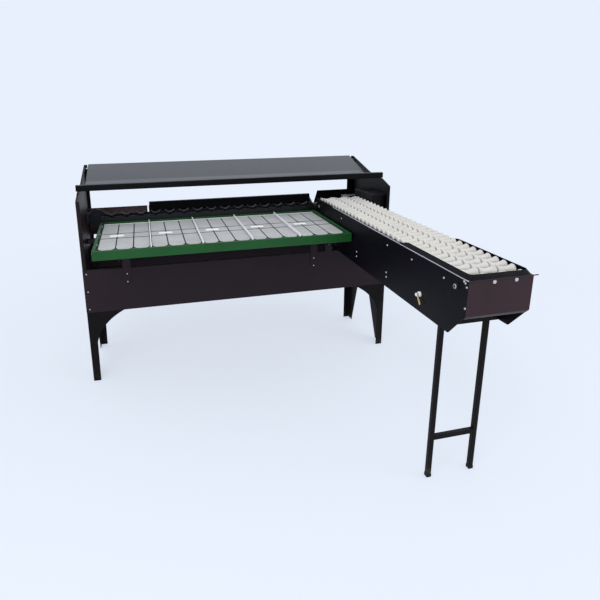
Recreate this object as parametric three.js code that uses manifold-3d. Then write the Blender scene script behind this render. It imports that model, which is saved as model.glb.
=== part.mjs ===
// Egg grading machine: a three-lane roller conveyor brings eggs over candling lamps to a walking
// beam, which carries them past fifteen weighing levers. A lever tips when its egg is heavy enough,
// and the egg rolls onto the rubber mats of the collecting table, in the lane of its grade.
//
// Millimetres, +Z up. While it is built, the body's left end plate stands at x = 0, its front at
// y = 0 and the floor at z = 0. The last lines move the origin under the middle of the machine.

import * as THREE from 'three';
import { mergeVertices } from 'three/addons/utils/BufferGeometryUtils.js';
import Module from 'manifold-3d';

const wasm = await Module();
wasm.setup();

// Fits and counts shared by all pieces
const seatGap = 0.3;
const runGap = 0.6;
const overrun = 5;
const roundSides = 12;
const smallSides = 8;
const rollerSides = 6;

// Body. The table's top sets the height of all that works beside it
const bodyLength = 1600;
const bodySheet = 2;
const tableTop = 762;
const windowHeight = 126;
const chamferDrop = 30;
const chamferRun = 95;
const cheekRise = 82;
const stepDrop = 122;
const stepRise = 80;
const stepDepth = 91;
const backClearance = 47;
const frontFlange = 18;
const topFlange = 10;
const backFlange = 18;

// Front rail
const railDepth = 28;
const railHeight = 29.5;
const railWall = 2;
const railOverhang = 5;
const railSetback = 9;

// Hood and its pivot rod
const hoodEndGap = 22;
const hoodSheet = 1.5;
const hoodDepth = 185;
const hoodLift = 17;
const hoodBackOverhang = 20;
const hoodBackLift = 1;
const hoodLipReach = 55;
const hoodLipDrop = 11;
const cheekLead = 125;
const hoodRodRadius = 4;
const hoodRodSetback = 12;
const hoodRodDrop = 20;
const hoodLugRadius = 9;
const hoodLugWidth = 5;
const hoodLugCount = 3;
const hoodRodStickOut = 2;

// Panels
const frontPanelDrop = 127;
const frontPanelHeight = 218;
const frontPanelHem = 16;
const plateLap = 85;
const earHeight = 60;
const earWidth = 38;
const rearPanelLap = 5;
const rearPanelRise = 36;
const rearPanelInset = 288;
const rearSlitWidth = 8;
const rearSlitDepth = 50;
const rearSlitCoverGap = 3;
const notchWidth = 50;
const notchSlant = 24;
const notchDepth = 46;
const rearEndPanelStep = 36;
const rearPostWidth = 40;
const rearCoverInset = 336;
const rearCoverEndInset = 8;
const rearCoverStep = 22;
const rearCoverHeight = 56;
const rearCoverDepth = 22;
const rearCoverHem = 9;
const rearBeamRise = 45;

// Legs
const legSheet = 2.5;
const legLap = 15;
const legFoot = 34;
const legNeck = 36;
const legNeckShare = 0.57;
const legGussetReach = 178;
const legGussetBendShares = [0.18, 0.64];
const legSideFootShare = 0.32;
const legSideNeckShare = 0.76;
const legSideNeckHeightShare = 0.64;
const legSideReachShare = 0.62;
const legSideBendShares = [0.25, 0.6];
const legArcSteps = 8;
const rearLegInsets = { left: 11, right: 36 };
const rearLegClearance = 1.5;

// Collecting table
const tableLeft = 78;
const tableRightGap = 6;
const tableReach = 268;
const tableDepth = 546;
const tableRailHeight = 42;
const tableRailWidth = 14;
const laneCount = 5;
const columnsPerLane = 3;
const deckThickness = 4;
const deckDrop = 10;
const matRaise = 3;
const matGap = 5;
const matEdgeGap = 6;
const matRowShares = [0.42, 0.17, 0.41];
const labelWidth = 65;
const labelDepth = 28;
const labelRaise = 1;
const labelOffset = 42;
const dividerWidth = 5;
const dividerHeight = 16;
const dividerBarDepth = 8;
const bracketWidth = 38;
const bracketSheet = 3;
const bracketDrop = 40;
const bracketLeftInset = 109;
const bracketRightInset = 79;
const bracketReachGap = 3;

// Infeed conveyor
const conveyorInset = 88;
const conveyorWidth = 238;
const conveyorLength = 1403;
const conveyorBackGap = 25;
const conveyorStep = 72;
const conveyorHeight = 214;
const conveyorSheet = 2;
const conveyorChamferRun = 82;
const conveyorChamferRise = 93;
const frontPlateHem = 12;
const frontLipOverhang = 19;
const collarLean = 11;
const collarRise = 16;
const collarLength = 450;
const collarSheet = 2.5;
const rollerAxisDrop = 5;
const rollerRadius = 18.5;
const rollerWaist = 11;
const laneGrooveRadius = 7;
const laneGroove = 4;
const lanesOfRollers = 3;
const rodRadius = 3.5;
const rowCount = 67;
const sprocketRadius = 32;
const chainThickness = 10;
const chainWidth = 5;
const chainWallGap = 2;
const chainRollerGap = 4;
const chainArcSteps = 8;
const tailClearance = 7.5;
const driveClearance = 2.5;
const shaftRadius = 8;
const shaftStickOut = 3;
const bearingRadius = 12;
const bearingThickness = 5;

// Candling lamp and belly tray
const lampHousingHeight = 9;
const lampHousingWidth = 44;
const lampSetback = 250;
const lampLength = 700;
const lampBarDepth = 20;
const trayHeight = 14;
const trayLift = 6;
const traySheet = 1.5;
const trayStandGap = 36;
const trayBackGap = 26;

// Conveyor gearmotor and its cover
const gearboxWidth = 62;
const gearboxDepth = 82;
const gearboxHeight = 82;
const motorRadius = 32;
const motorLength = 116;
const coverLift = 6;
const coverHeight = 65;
const coverSheet = 1.5;
const coverFrontGap = 12;
const coverBackGap = 22;

// Stand under the conveyor
const standTube = 18;
const standWall = 2;
const standSetback = 128;
const standRightInset = 35;
const standCrossbarHeight = 160;

// Weighing stations
const cupRise = 44;
const cupWidth = 52;
const cupDepth = 28;
const cupSeatDrop = 12;
const cupThickness = 6;
const cupSetback = 39;
const cupFlatShare = 0.34;
const pivotSetback = 21;
const pivotDrop = 38;
const pivotRadius = 4;
const hubRadius = 8.5;
const hubWidth = 16;
const leverThickness = 5;
const leverDrop = 68;
const leverReach = 100;
const leverBar = 7;
const weightRadius = 15;
const weightWidth = 20;

// Beam that carries the stations
const stationBeamHeight = 22;
const stationBeamDepth = 26;
const stationBeamGap = 21;
const stationPostWidth = 8;
const stationPostDepth = 20;
const stationPostRise = 10;
const leverRodReach = 5;
const cradleCount = 3;
const cradleThickness = 10;

// Walking beam and its cranks
const combGap = 6;
const combDrop = 16;
const combSheet = 3;
const combHeight = 40;
const combHubGap = 4;
const combNotchDepth = 9;
const combNotchHalf = 16;
const combRodGap = 2;
const combEndReach = 9;
const combCrossWidth = 6;
const combCrossInset = 3;
const crankPinGap = 3;
const crankDiscMargin = 2;
const crankDiscThickness = 8;
const crankDiscGap = 4;
const crankPinRadius = 6;
const crankPinStickOut = 3;
const crankShaftRadius = 9;
const crankShaftLength = 30;
const crankBlockDepth = 44;
const crankBlockHeight = 46;
const crankBlockWidth = 50;
const beamGearboxHeight = 84;
const beamGearboxDepth = 64;
const beamGearboxWidth = 80;
const beamMotorRadius = 34;
const beamMotorLength = 110;

// Switch and power inlet
const switchBossRadius = 10;
const switchBossLength = 8;
const switchPivotRadius = 3;
const switchSetback = 266;
const switchLift = 68;
const switchHubRadius = 6.5;
const switchLeverLength = 40;
const switchLeverWidth = 6;
const switchLeverThickness = 5;
const switchCapLength = 3;
const switchLeverAngle = THREE.MathUtils.degToRad(39);
const inletWidth = 50;
const inletHeight = 30;
const inletDepth = 12;
const inletDepthShare = 0.67;
const inletLift = 80;
const inletPocketWidth = 28;
const inletPocketHeight = 18;
const inletPocketDepth = 8;

// Colours and finishes
const paint = (color, roughness, metalness) =>
  new THREE.MeshStandardMaterial({ color, roughness, metalness, flatShading: true });
const blackPaint = paint(0x17141a, 0.38, 0.25);
const brownPaint = paint(0x2b2127, 0.42, 0.25);
const hoodPaint = paint(0x1c1c20, 0.22, 0.3);
const greenPaint = paint(0x1f6a35, 0.4, 0.2);
const greyMat = paint(0x6d7572, 0.85, 0);
const whitePlastic = paint(0xe9e6dc, 0.45, 0);
const blackPlastic = paint(0x151515, 0.55, 0);
const brushedSteel = paint(0x9a9c9f, 0.35, 0.9);
const darkSteel = paint(0x3b3c40, 0.5, 0.8);
const brass = paint(0xb78f3e, 0.35, 0.9);
const motorPaint = paint(0x55595e, 0.5, 0.3);
const lampGlass = paint(0xffe9b8, 0.3, 0);

// Worked-out places, along the body
const innerLeft = bodySheet + seatGap;
const innerRight = bodyLength - innerLeft;
const conveyorRight = bodyLength - conveyorInset;
const conveyorLeft = conveyorRight - conveyorWidth;
const wallInnerLeft = conveyorLeft + conveyorSheet;
const wallInnerRight = conveyorRight - conveyorSheet;
const tableRight = conveyorLeft - tableRightGap;
const laneLeft = tableLeft + tableRailWidth + matEdgeGap;
const laneWidth = (tableRight - tableRailWidth - matEdgeGap - laneLeft) / laneCount;
const columnWidth = laneWidth / columnsPerLane;
const leverCount = laneCount * columnsPerLane;

// From the front to the back
const tableFront = -tableReach;
const tableBack = tableFront + tableDepth;
const combFront = tableBack + combGap;
const cupCentre = tableBack + cupSetback;
const pivotDepth = cupCentre + pivotSetback;
const combBack = pivotDepth + hubRadius + combHubGap;
const bodyDepth = pivotDepth + leverReach + weightRadius + backClearance;
const lowerDepth = bodyDepth - stepDepth;
const hoodBendDepth = bodyDepth - hoodDepth;
const cheekStart = hoodBendDepth - cheekLead;
const conveyorBack = tableBack - conveyorBackGap;
const conveyorFront = conveyorBack - conveyorLength;
const tailShaftDepth = conveyorFront + sprocketRadius + rollerRadius + tailClearance;
const driveShaftDepth = conveyorBack - sprocketRadius - rollerRadius - driveClearance;

// Up from the floor
const conveyorTop = tableTop + conveyorStep;
const conveyorBottom = conveyorTop - conveyorHeight;
const rollerAxisHeight = conveyorTop - rollerAxisDrop;
const shaftHeight = rollerAxisHeight - sprocketRadius;
const plateTop = conveyorTop + windowHeight;
const plateFrontTop = plateTop - chamferDrop;
const cheekTop = plateTop + cheekRise;
const stepTop = tableTop - stepDrop;
const stepBottom = stepTop - stepRise;
const frontPanelTop = tableTop - tableRailHeight - frontPanelDrop;
const frontPanelBottom = frontPanelTop - frontPanelHeight;
const plateBottom = frontPanelBottom + plateLap;
const hoodBendHeight = plateTop + hoodLift;
const hoodBackHeight = cheekTop + hoodBackLift;
const hoodRodHeight = cheekTop - hoodRodDrop;
const rearPanelTop = tableTop + rearPanelRise;
const cupHeight = tableTop + cupRise;
const pivotHeight = cupHeight - pivotDrop;
const stationBeamTop = pivotHeight - leverDrop - weightRadius - stationBeamGap;
const combTop = cupHeight - combDrop;

const group = new THREE.Group();

// Solids

function solid(geometry) {
  const bare = geometry.clone();
  bare.deleteAttribute('normal');
  bare.deleteAttribute('uv');
  const merged = mergeVertices(bare);
  return new wasm.Manifold(new wasm.Mesh({
    numProp: 3,
    vertProperties: new Float32Array(merged.attributes.position.array),
    triVerts: new Uint32Array(merged.index.array),
  }));
}

function join(pieces) {
  return pieces.reduce((whole, piece) => whole.add(piece));
}

function cut(base, tools) {
  return tools.reduce((whole, tool) => whole.subtract(tool), base);
}

function box([x0, x1], [y0, y1], [z0, z1]) {
  const geometry = new THREE.BoxGeometry(x1 - x0, y1 - y0, z1 - z0);
  geometry.translate((x0 + x1) / 2, (y0 + y1) / 2, (z0 + z1) / 2);
  return solid(geometry);
}

function extruded(points, depth) {
  const shape = new THREE.Shape(points.map(([a, b]) => new THREE.Vector2(a, b)));
  return new THREE.ExtrudeGeometry(shape, { depth, bevelEnabled: false, steps: 1 });
}

// An outline of (y, z) points, extruded from x0 to x1
function prismX(points, [x0, x1]) {
  const geometry = extruded(points, x1 - x0);
  geometry.applyMatrix4(new THREE.Matrix4().makeBasis(
    new THREE.Vector3(0, 1, 0), new THREE.Vector3(0, 0, 1), new THREE.Vector3(1, 0, 0)));
  geometry.translate(x0, 0, 0);
  return solid(geometry);
}

// An outline of (x, z) points, extruded from y0 to y1
function prismY(points, [y0, y1]) {
  const geometry = extruded(points, y1 - y0);
  geometry.applyMatrix4(new THREE.Matrix4().makeBasis(
    new THREE.Vector3(1, 0, 0), new THREE.Vector3(0, 0, 1), new THREE.Vector3(0, -1, 0)));
  geometry.translate(0, y1, 0);
  return solid(geometry);
}

function circle([a, b], radius, sides) {
  return Array.from({ length: sides }, (_, i) => {
    const angle = (i + 0.5) * 2 * Math.PI / sides;
    return [a + radius * Math.cos(angle), b + radius * Math.sin(angle)];
  });
}

function rodX([x0, x1], [y, z], radius, sides = roundSides) {
  return prismX(circle([y, z], radius, sides), [x0, x1]);
}

function rodY([y0, y1], [x, z], radius, sides = roundSides) {
  return prismY(circle([x, z], radius, sides), [y0, y1]);
}

function geometryOf(manifold) {
  const mesh = manifold.getMesh();
  const geometry = new THREE.BufferGeometry();
  geometry.setAttribute('position', new THREE.BufferAttribute(new Float32Array(mesh.vertProperties), 3));
  geometry.setIndex(new THREE.BufferAttribute(new Uint32Array(mesh.triVerts), 1));
  geometry.computeVertexNormals();
  return geometry;
}

function add(name, manifold, material, parent = group) {
  const mesh = new THREE.Mesh(geometryOf(manifold), material);
  mesh.name = name;
  parent.add(mesh);
}

// A closed outline moved inward by a distance, corner by corner
function inset(points, distance) {
  const count = points.length;
  const area = points.reduce((sum, [a, b], i) => {
    const [c, d] = points[(i + 1) % count];
    return sum + a * d - b * c;
  }, 0);
  const inward = Math.sign(area);
  const normal = (from, to) => {
    const [da, db] = [to[0] - from[0], to[1] - from[1]];
    const length = Math.hypot(da, db);
    return [-db * inward / length, da * inward / length];
  };
  return points.map((point, i) => {
    const before = normal(points[(i + count - 1) % count], point);
    const after = normal(point, points[(i + 1) % count]);
    const scale = distance / (1 + before[0] * after[0] + before[1] * after[1]);
    return [point[0] + (before[0] + after[0]) * scale, point[1] + (before[1] + after[1]) * scale];
  });
}

// x range measured inward from the left or the right end of the body
function fromEnd(side, from, to) {
  return side === 'left' ? [from, to] : [bodyLength - to, bodyLength - from];
}

// End plates

const plateOutline = [
  [0, plateBottom],
  [0, plateFrontTop],
  [chamferRun, plateTop],
  [cheekStart, plateTop],
  [bodyDepth, cheekTop],
  [bodyDepth, stepTop],
  [lowerDepth, stepBottom],
  [lowerDepth, plateBottom],
];
const plateFlanges = [frontFlange, topFlange, topFlange, topFlange, backFlange, backFlange, backFlange];
const hoodRodPlace = [bodyDepth - hoodRodSetback, hoodRodHeight];

function endPlate(side) {
  const inner = inset(plateOutline, bodySheet);
  const flanges = plateFlanges.map((width, i) => {
    const strip = [plateOutline[i], plateOutline[i + 1], inner[i + 1], inner[i]];
    return prismX(strip, fromEnd(side, 0, width));
  });
  const plate = join([prismX(plateOutline, fromEnd(side, 0, bodySheet)), ...flanges]);
  const rodHole = rodX(fromEnd(side, -overrun, bodySheet + overrun), hoodRodPlace,
    hoodRodRadius + seatGap);
  return cut(plate, [rodHole]);
}

add('end_plate_left', endPlate('left'), blackPaint);
add('end_plate_right', endPlate('right'), blackPaint);

// Front rail, a square tube across the tops of the end plates

const railFront = chamferRun + railSetback;
const railBottom = plateTop + seatGap;
const railSpan = [-railOverhang, bodyLength + railOverhang];
const railOuter = box(railSpan, [railFront, railFront + railDepth], [railBottom, railBottom + railHeight]);
const railBore = box([railSpan[0] - overrun, railSpan[1] + overrun],
  [railFront + railWall, railFront + railDepth - railWall],
  [railBottom + railWall, railBottom + railHeight - railWall]);
add('front_rail', cut(railOuter, [railBore]), blackPaint);

// Hood, a bent sheet on three lugs that turn on a rod between the cheeks

const hoodBack = bodyDepth + hoodBackOverhang;
const hoodTopLine = [
  [hoodBendDepth - hoodLipReach, hoodBendHeight - hoodLipDrop],
  [hoodBendDepth, hoodBendHeight],
  [hoodBack, hoodBackHeight],
];
const hoodUnderLine = hoodTopLine.map(([y, z]) => [y, z - hoodSheet]);
const hoodSlope = (hoodBackHeight - hoodBendHeight) / (hoodBack - hoodBendDepth);
const hoodSpan = [hoodEndGap, bodyLength - hoodEndGap];

function hood() {
  const sheet = prismX([...hoodTopLine, ...hoodUnderLine.reverse()], hoodSpan);
  const lugTopHeight = hoodBendHeight + hoodSlope * (hoodRodPlace[0] - hoodBendDepth) - hoodSheet / 2;
  const lugs = Array.from({ length: hoodLugCount }, (_, i) => {
    const middle = hoodSpan[0] + (hoodSpan[1] - hoodSpan[0]) * (i + 0.5) / hoodLugCount;
    const span = [middle - hoodLugWidth / 2, middle + hoodLugWidth / 2];
    const rise = hoodSlope * hoodLugRadius;
    const web = prismX([
      [hoodRodPlace[0] - hoodLugRadius, hoodRodPlace[1]],
      [hoodRodPlace[0] + hoodLugRadius, hoodRodPlace[1]],
      [hoodRodPlace[0] + hoodLugRadius, lugTopHeight + rise],
      [hoodRodPlace[0] - hoodLugRadius, lugTopHeight - rise],
    ], span);
    return join([web, rodX(span, hoodRodPlace, hoodLugRadius)]);
  });
  const bore = rodX([hoodSpan[0] - overrun, hoodSpan[1] + overrun], hoodRodPlace, hoodRodRadius + runGap);
  return cut(join([sheet, ...lugs]), [bore]);
}

add('hood', hood(), hoodPaint);
add('hood_pivot_rod', rodX([-hoodRodStickOut, bodyLength + hoodRodStickOut], hoodRodPlace, hoodRodRadius),
  brushedSteel);

// Front panel, with two ears that hold the conveyor walls

const panelBack = -seatGap;
const panelFront = panelBack - bodySheet;
const earSpans = [
  [conveyorLeft - seatGap - earWidth, conveyorLeft - seatGap],
  [conveyorRight + seatGap, conveyorRight + seatGap + earWidth],
];

function frontPanel() {
  const face = box([0, bodyLength], [panelFront, panelBack], [frontPanelBottom, frontPanelTop]);
  const hem = box([frontFlange + seatGap, bodyLength - frontFlange - seatGap],
    [panelFront, panelFront + frontPanelHem], [frontPanelTop - bodySheet, frontPanelTop]);
  const ears = earSpans.map((span) =>
    box(span, [panelFront, panelBack], [frontPanelTop - bodySheet, conveyorBottom + earHeight]));
  return join([face, hem, ...ears]);
}

add('front_panel', frontPanel(), brownPaint);

// Rear panels, the folded cover in front of them, and the cross beam between the rear legs

const rearPanelFace = [bodyDepth - bodySheet * 2 - seatGap, bodyDepth - bodySheet - seatGap];
const rearPanelEnd = bodyLength - rearPanelInset;
const rearPanelBottom = stepTop + rearPanelLap;
const notchEnd = rearPanelEnd + notchWidth;
const notchBottom = rearPanelTop - notchDepth;
const notchTip = [rearPanelEnd + notchSlant, notchEnd - notchSlant];

const slitEnd = rearCoverInset - rearSlitCoverGap;
const slitStart = slitEnd - rearSlitWidth;
const slitBottom = rearPanelTop - rearSlitDepth;

add('rear_panel', prismY([
  [innerLeft, rearPanelBottom],
  [notchTip[0], rearPanelBottom],
  [notchTip[0], notchBottom],
  [rearPanelEnd, rearPanelTop],
  [slitEnd, rearPanelTop],
  [slitEnd, slitBottom],
  [slitStart, slitBottom],
  [slitStart, rearPanelTop],
  [innerLeft, rearPanelTop],
], rearPanelFace), brownPaint);

add('rear_end_panel', prismY([
  [notchTip[1], rearPanelBottom],
  [innerRight, rearPanelBottom],
  [innerRight, plateFrontTop],
  [bodyLength - rearPostWidth, plateFrontTop],
  [bodyLength - rearPostWidth, rearPanelTop + rearEndPanelStep],
  [notchEnd, rearPanelTop + rearEndPanelStep],
  [notchTip[1], notchBottom],
], rearPanelFace), blackPaint);

function rearCover() {
  const back = rearPanelFace[0] - seatGap;
  const front = back - rearCoverDepth;
  const span = [rearCoverInset, rearPanelEnd - rearCoverEndInset];
  const z1 = rearPanelTop + rearCoverStep;
  const z0 = z1 - rearCoverHeight;
  const face = box(span, [front, front + bodySheet], [z0, z1]);
  const top = box(span, [front, back], [z1 - bodySheet, z1]);
  const hem = box(span, [front - rearCoverHem, front + bodySheet], [z0, z0 + bodySheet]);
  const backStrip = box(span, [back - bodySheet, back], [rearPanelTop - rearCoverDepth, z1]);
  return join([face, top, hem, backStrip]);
}

add('rear_cover', rearCover(), blackPaint);

const rearBeamFace = [lowerDepth - bodySheet * 2 - seatGap, lowerDepth - bodySheet - seatGap];
add('rear_beam', box([innerLeft, innerRight], rearBeamFace, [frontPanelBottom, stepBottom + rearBeamRise]),
  brownPaint);

// Legs, each an L of sheet whose two wings widen in an arc to meet the body

function bend([a0, b0], [a1, b1], [shareA, shareB]) {
  const curve = new THREE.QuadraticBezierCurve(
    new THREE.Vector2(a0, b0),
    new THREE.Vector2(a0 + (a1 - a0) * shareA, b0 + (b1 - b0) * shareB),
    new THREE.Vector2(a1, b1));
  return curve.getPoints(legArcSteps).map((point) => [point.x, point.y]);
}

const legTop = plateBottom + legLap;
const legCorners = { front: bodySheet + seatGap, back: rearBeamFace[0] - seatGap };
const legSpan = legCorners.back - legCorners.front;
const legSideReaches = {
  front: legSpan * legSideReachShare,
  back: legSpan * (1 - legSideReachShare) - rearLegClearance,
};

function wing(foot, neck, neckHeight, reach, bendShares) {
  return [
    [0, 0],
    [foot, 0],
    ...bend([neck, neckHeight], [reach, frontPanelBottom], bendShares),
    [reach, legTop],
    [0, legTop],
  ];
}

function leg(side, end) {
  const cornerX = end === 'front' ? innerLeft : rearLegInsets[side];
  const forward = end === 'front' ? 1 : -1;
  const toX = (u) => (side === 'left' ? cornerX + u : bodyLength - cornerX - u);
  const toY = (v) => legCorners[end] + forward * v;
  const sideReach = legSideReaches[end];
  const crossWing = wing(legFoot, legNeck, frontPanelBottom * legNeckShare, legGussetReach,
    legGussetBendShares);
  const sideWing = wing(sideReach * legSideFootShare, sideReach * legSideNeckShare,
    frontPanelBottom * legSideNeckHeightShare, sideReach, legSideBendShares);
  const ySpan = [toY(0), toY(legSheet)].sort((a, b) => a - b);
  const xSpan = [toX(0), toX(legSheet)].sort((a, b) => a - b);
  return join([
    prismY(crossWing.map(([u, z]) => [toX(u), z]), ySpan),
    prismX(sideWing.map(([v, z]) => [toY(v), z]), xSpan),
  ]);
}

for (const end of ['front', 'back']) {
  for (const side of ['left', 'right']) {
    add(`leg_${end}_${side}`, leg(side, end), blackPaint);
  }
}

// Collecting table: painted rail frame, deck with mats, lane dividers and two brackets

function tableFrame() {
  const z = [tableTop - tableRailHeight, tableTop];
  const outer = box([tableLeft, tableRight], [tableFront, tableBack], z);
  const inner = box([tableLeft + tableRailWidth, tableRight - tableRailWidth],
    [tableFront + tableRailWidth, tableBack - tableRailWidth], [z[0] - overrun, z[1] + overrun]);
  return cut(outer, [inner]);
}

const deckX = [tableLeft + tableRailWidth + seatGap, tableRight - tableRailWidth - seatGap];
const deckY = [tableFront + tableRailWidth + seatGap, tableBack - tableRailWidth - seatGap];
const deckTop = tableTop - deckDrop;

function matRows() {
  const usable = deckY[1] - deckY[0] - matEdgeGap * 2 - dividerBarDepth;
  let from = deckY[0] + matEdgeGap;
  return matRowShares.map((share) => {
    const row = [from + matGap / 2, from + usable * share - matGap / 2];
    from += usable * share;
    return row;
  });
}

function tableDeck() {
  const pieces = [box(deckX, deckY, [deckTop - deckThickness, deckTop])];
  const rows = matRows();
  for (let column = 0; column < leverCount; column += 1) {
    const left = laneLeft + columnWidth * column;
    const lane = Math.floor(column / columnsPerLane);
    const firstInLane = column % columnsPerLane === 0 && lane > 0;
    const lastInLane = column % columnsPerLane === columnsPerLane - 1 && lane < laneCount - 1;
    const x = [
      left + matGap / 2 + (firstInLane ? dividerWidth / 2 : 0),
      left + columnWidth - matGap / 2 - (lastInLane ? dividerWidth / 2 : 0),
    ];
    rows.forEach((row) => pieces.push(box(x, row, [deckTop - deckThickness / 2, deckTop + matRaise])));
  }
  for (let lane = 0; lane < laneCount; lane += 1) {
    const left = laneLeft + laneWidth * lane + labelOffset;
    const middle = (rows[1][0] + rows[1][1]) / 2;
    pieces.push(box([left, left + labelWidth], [middle - labelDepth / 2, middle + labelDepth / 2],
      [deckTop, deckTop + matRaise + labelRaise]));
  }
  return join(pieces);
}

function laneDividers() {
  const bottom = deckTop + seatGap;
  const bar = box([laneLeft, laneLeft + laneWidth * laneCount],
    [deckY[1] - matEdgeGap - dividerBarDepth, deckY[1] - matEdgeGap], [bottom, bottom + matRaise]);
  const strips = Array.from({ length: laneCount - 1 }, (_, i) => {
    const middle = laneLeft + laneWidth * (i + 1);
    return box([middle - dividerWidth / 2, middle + dividerWidth / 2],
      [deckY[0] + matEdgeGap, deckY[1] - matEdgeGap], [bottom, bottom + dividerHeight]);
  });
  return join([bar, ...strips]);
}

function tableBracket(left) {
  const x = [left, left + bracketWidth];
  const top = tableTop - tableRailHeight - seatGap;
  const front = panelFront - seatGap - bracketSheet;
  const arm = box(x, [tableFront + bracketReachGap, tableBack - bracketReachGap], [top - bracketSheet, top]);
  const drop = box(x, [front, front + bracketSheet], [frontPanelTop - bracketDrop - bracketWidth, top]);
  return join([arm, drop]);
}

add('table_frame', tableFrame(), greenPaint);
add('table_deck', tableDeck(), greyMat);
add('lane_dividers', laneDividers(), whitePlastic);
add('table_bracket_left', tableBracket(tableLeft + bracketLeftInset), blackPaint);
add('table_bracket_right', tableBracket(tableRight - bracketRightInset - bracketWidth), blackPaint);

// Conveyor trough: two walls, a front plate with a lip, and the collar on the rim

const chamferFoot = [conveyorFront + conveyorChamferRun, conveyorBottom];
const chamferHead = [conveyorFront, conveyorBottom + conveyorChamferRise];
const shaftPlaces = { tail: [tailShaftDepth, shaftHeight], drive: [driveShaftDepth, shaftHeight] };

function conveyorWall(x) {
  const outline = [
    [conveyorBack, conveyorBottom], [conveyorBack, conveyorTop], [conveyorFront, conveyorTop],
    chamferHead, chamferFoot,
  ];
  const holes = Object.values(shaftPlaces).map((place) =>
    rodX([x[0] - overrun, x[1] + overrun], place, shaftRadius + runGap));
  return cut(prismX(outline, x), holes);
}

add('conveyor_wall_left', conveyorWall([conveyorLeft, wallInnerLeft]), blackPaint);
add('conveyor_wall_right', conveyorWall([wallInnerRight, conveyorRight]), blackPaint);

function conveyorFrontPlate() {
  const back = conveyorFront - seatGap;
  const face = box([conveyorLeft, conveyorRight], [back - conveyorSheet, back], [chamferHead[1], conveyorTop]);
  const hemSlope = conveyorChamferRise / conveyorChamferRun;
  const hem = prismX([
    [back - conveyorSheet, chamferHead[1]],
    [back, chamferHead[1]],
    [back + frontPlateHem, chamferHead[1] - frontPlateHem * hemSlope],
    [back + frontPlateHem - conveyorSheet, chamferHead[1] - frontPlateHem * hemSlope],
  ], [wallInnerLeft + seatGap, wallInnerRight - seatGap]);
  const lip = box([conveyorLeft, conveyorRight + frontLipOverhang],
    [back - conveyorSheet * 2, back], [conveyorTop - conveyorSheet, conveyorTop + conveyorSheet / 2]);
  return join([face, hem, lip]);
}

add('conveyor_front_plate', conveyorFrontPlate(), brownPaint);

// The collar is a sheet that stands on the rim on three sides and leans inward
function conveyorCollar() {
  const bottom = conveyorTop + seatGap;
  const back = conveyorFront + collarLength;
  const ring = (grow) => ({
    left: conveyorLeft + grow, right: conveyorRight - grow, front: conveyorFront + grow,
  });
  const outer = [ring(0), ring(collarLean)];
  const inner = [ring(collarSheet), ring(collarLean + collarSheet)];
  const heights = [bottom, bottom + collarRise];
  const strip = (corners) => slab(
    corners(outer[1], inner[1]).map(([x, y]) => [x, y, heights[1]]),
    corners(outer[0], inner[0]).map(([x, y]) => [x, y, heights[0]]));
  const left = strip((out, into) => [
    [out.left, out.front], [into.left, into.front], [into.left, back], [out.left, back]]);
  const right = strip((out, into) => [
    [into.right, into.front], [out.right, out.front], [out.right, back], [into.right, back]]);
  const front = strip((out, into) => [
    [out.left, out.front], [out.right, out.front], [into.right, into.front], [into.left, into.front]]);
  return join([front, left, right]);
}

// A four-cornered slab between an upper and a lower face, each counter-clockwise seen from above
function slab(upper, lower) {
  const geometry = new THREE.BufferGeometry();
  geometry.setAttribute('position', new THREE.Float32BufferAttribute([...upper, ...lower].flat(), 3));
  const faces = [0, 1, 2, 0, 2, 3, 6, 5, 4, 7, 6, 4];
  for (let i = 0; i < 4; i += 1) {
    const next = (i + 1) % 4;
    faces.push(i, i + 4, next, next, i + 4, next + 4);
  }
  geometry.setIndex(faces);
  return solid(geometry);
}

add('conveyor_collar', conveyorCollar(), blackPaint);

// Roller chain: two chains joined by cross rods; the rods of the upper run carry the egg rollers

const chainLeft = [wallInnerLeft + chainWallGap, wallInnerLeft + chainWallGap + chainWidth];
const chainRight = [wallInnerRight - chainWallGap - chainWidth, wallInnerRight - chainWallGap];
const runLength = driveShaftDepth - tailShaftDepth;
const loopLength = 2 * runLength + 2 * Math.PI * sprocketRadius;

// Place and height of a point at a distance along the pitch line, from above the tail shaft
function loopPoint(distance) {
  const arc = Math.PI * sprocketRadius;
  if (distance < runLength) return [tailShaftDepth + distance, rollerAxisHeight];
  if (distance < runLength + arc) {
    const angle = (distance - runLength) / sprocketRadius;
    return [driveShaftDepth + sprocketRadius * Math.sin(angle), shaftHeight + sprocketRadius * Math.cos(angle)];
  }
  if (distance < 2 * runLength + arc) {
    return [driveShaftDepth - (distance - runLength - arc), shaftHeight - sprocketRadius];
  }
  const angle = (distance - 2 * runLength - arc) / sprocketRadius;
  return [tailShaftDepth - sprocketRadius * Math.sin(angle), shaftHeight - sprocketRadius * Math.cos(angle)];
}

function stadium(radius) {
  const half = (centre, start) => Array.from({ length: chainArcSteps + 1 }, (_, i) => {
    const angle = start + Math.PI * i / chainArcSteps;
    return [centre + radius * Math.cos(angle), shaftHeight + radius * Math.sin(angle)];
  });
  return [...half(driveShaftDepth, -Math.PI / 2), ...half(tailShaftDepth, Math.PI / 2)];
}

function chain(x) {
  const outer = prismX(stadium(sprocketRadius + chainThickness / 2), x);
  const inner = prismX(stadium(sprocketRadius - chainThickness / 2), [x[0] - overrun, x[1] + overrun]);
  return cut(outer, [inner]);
}

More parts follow.
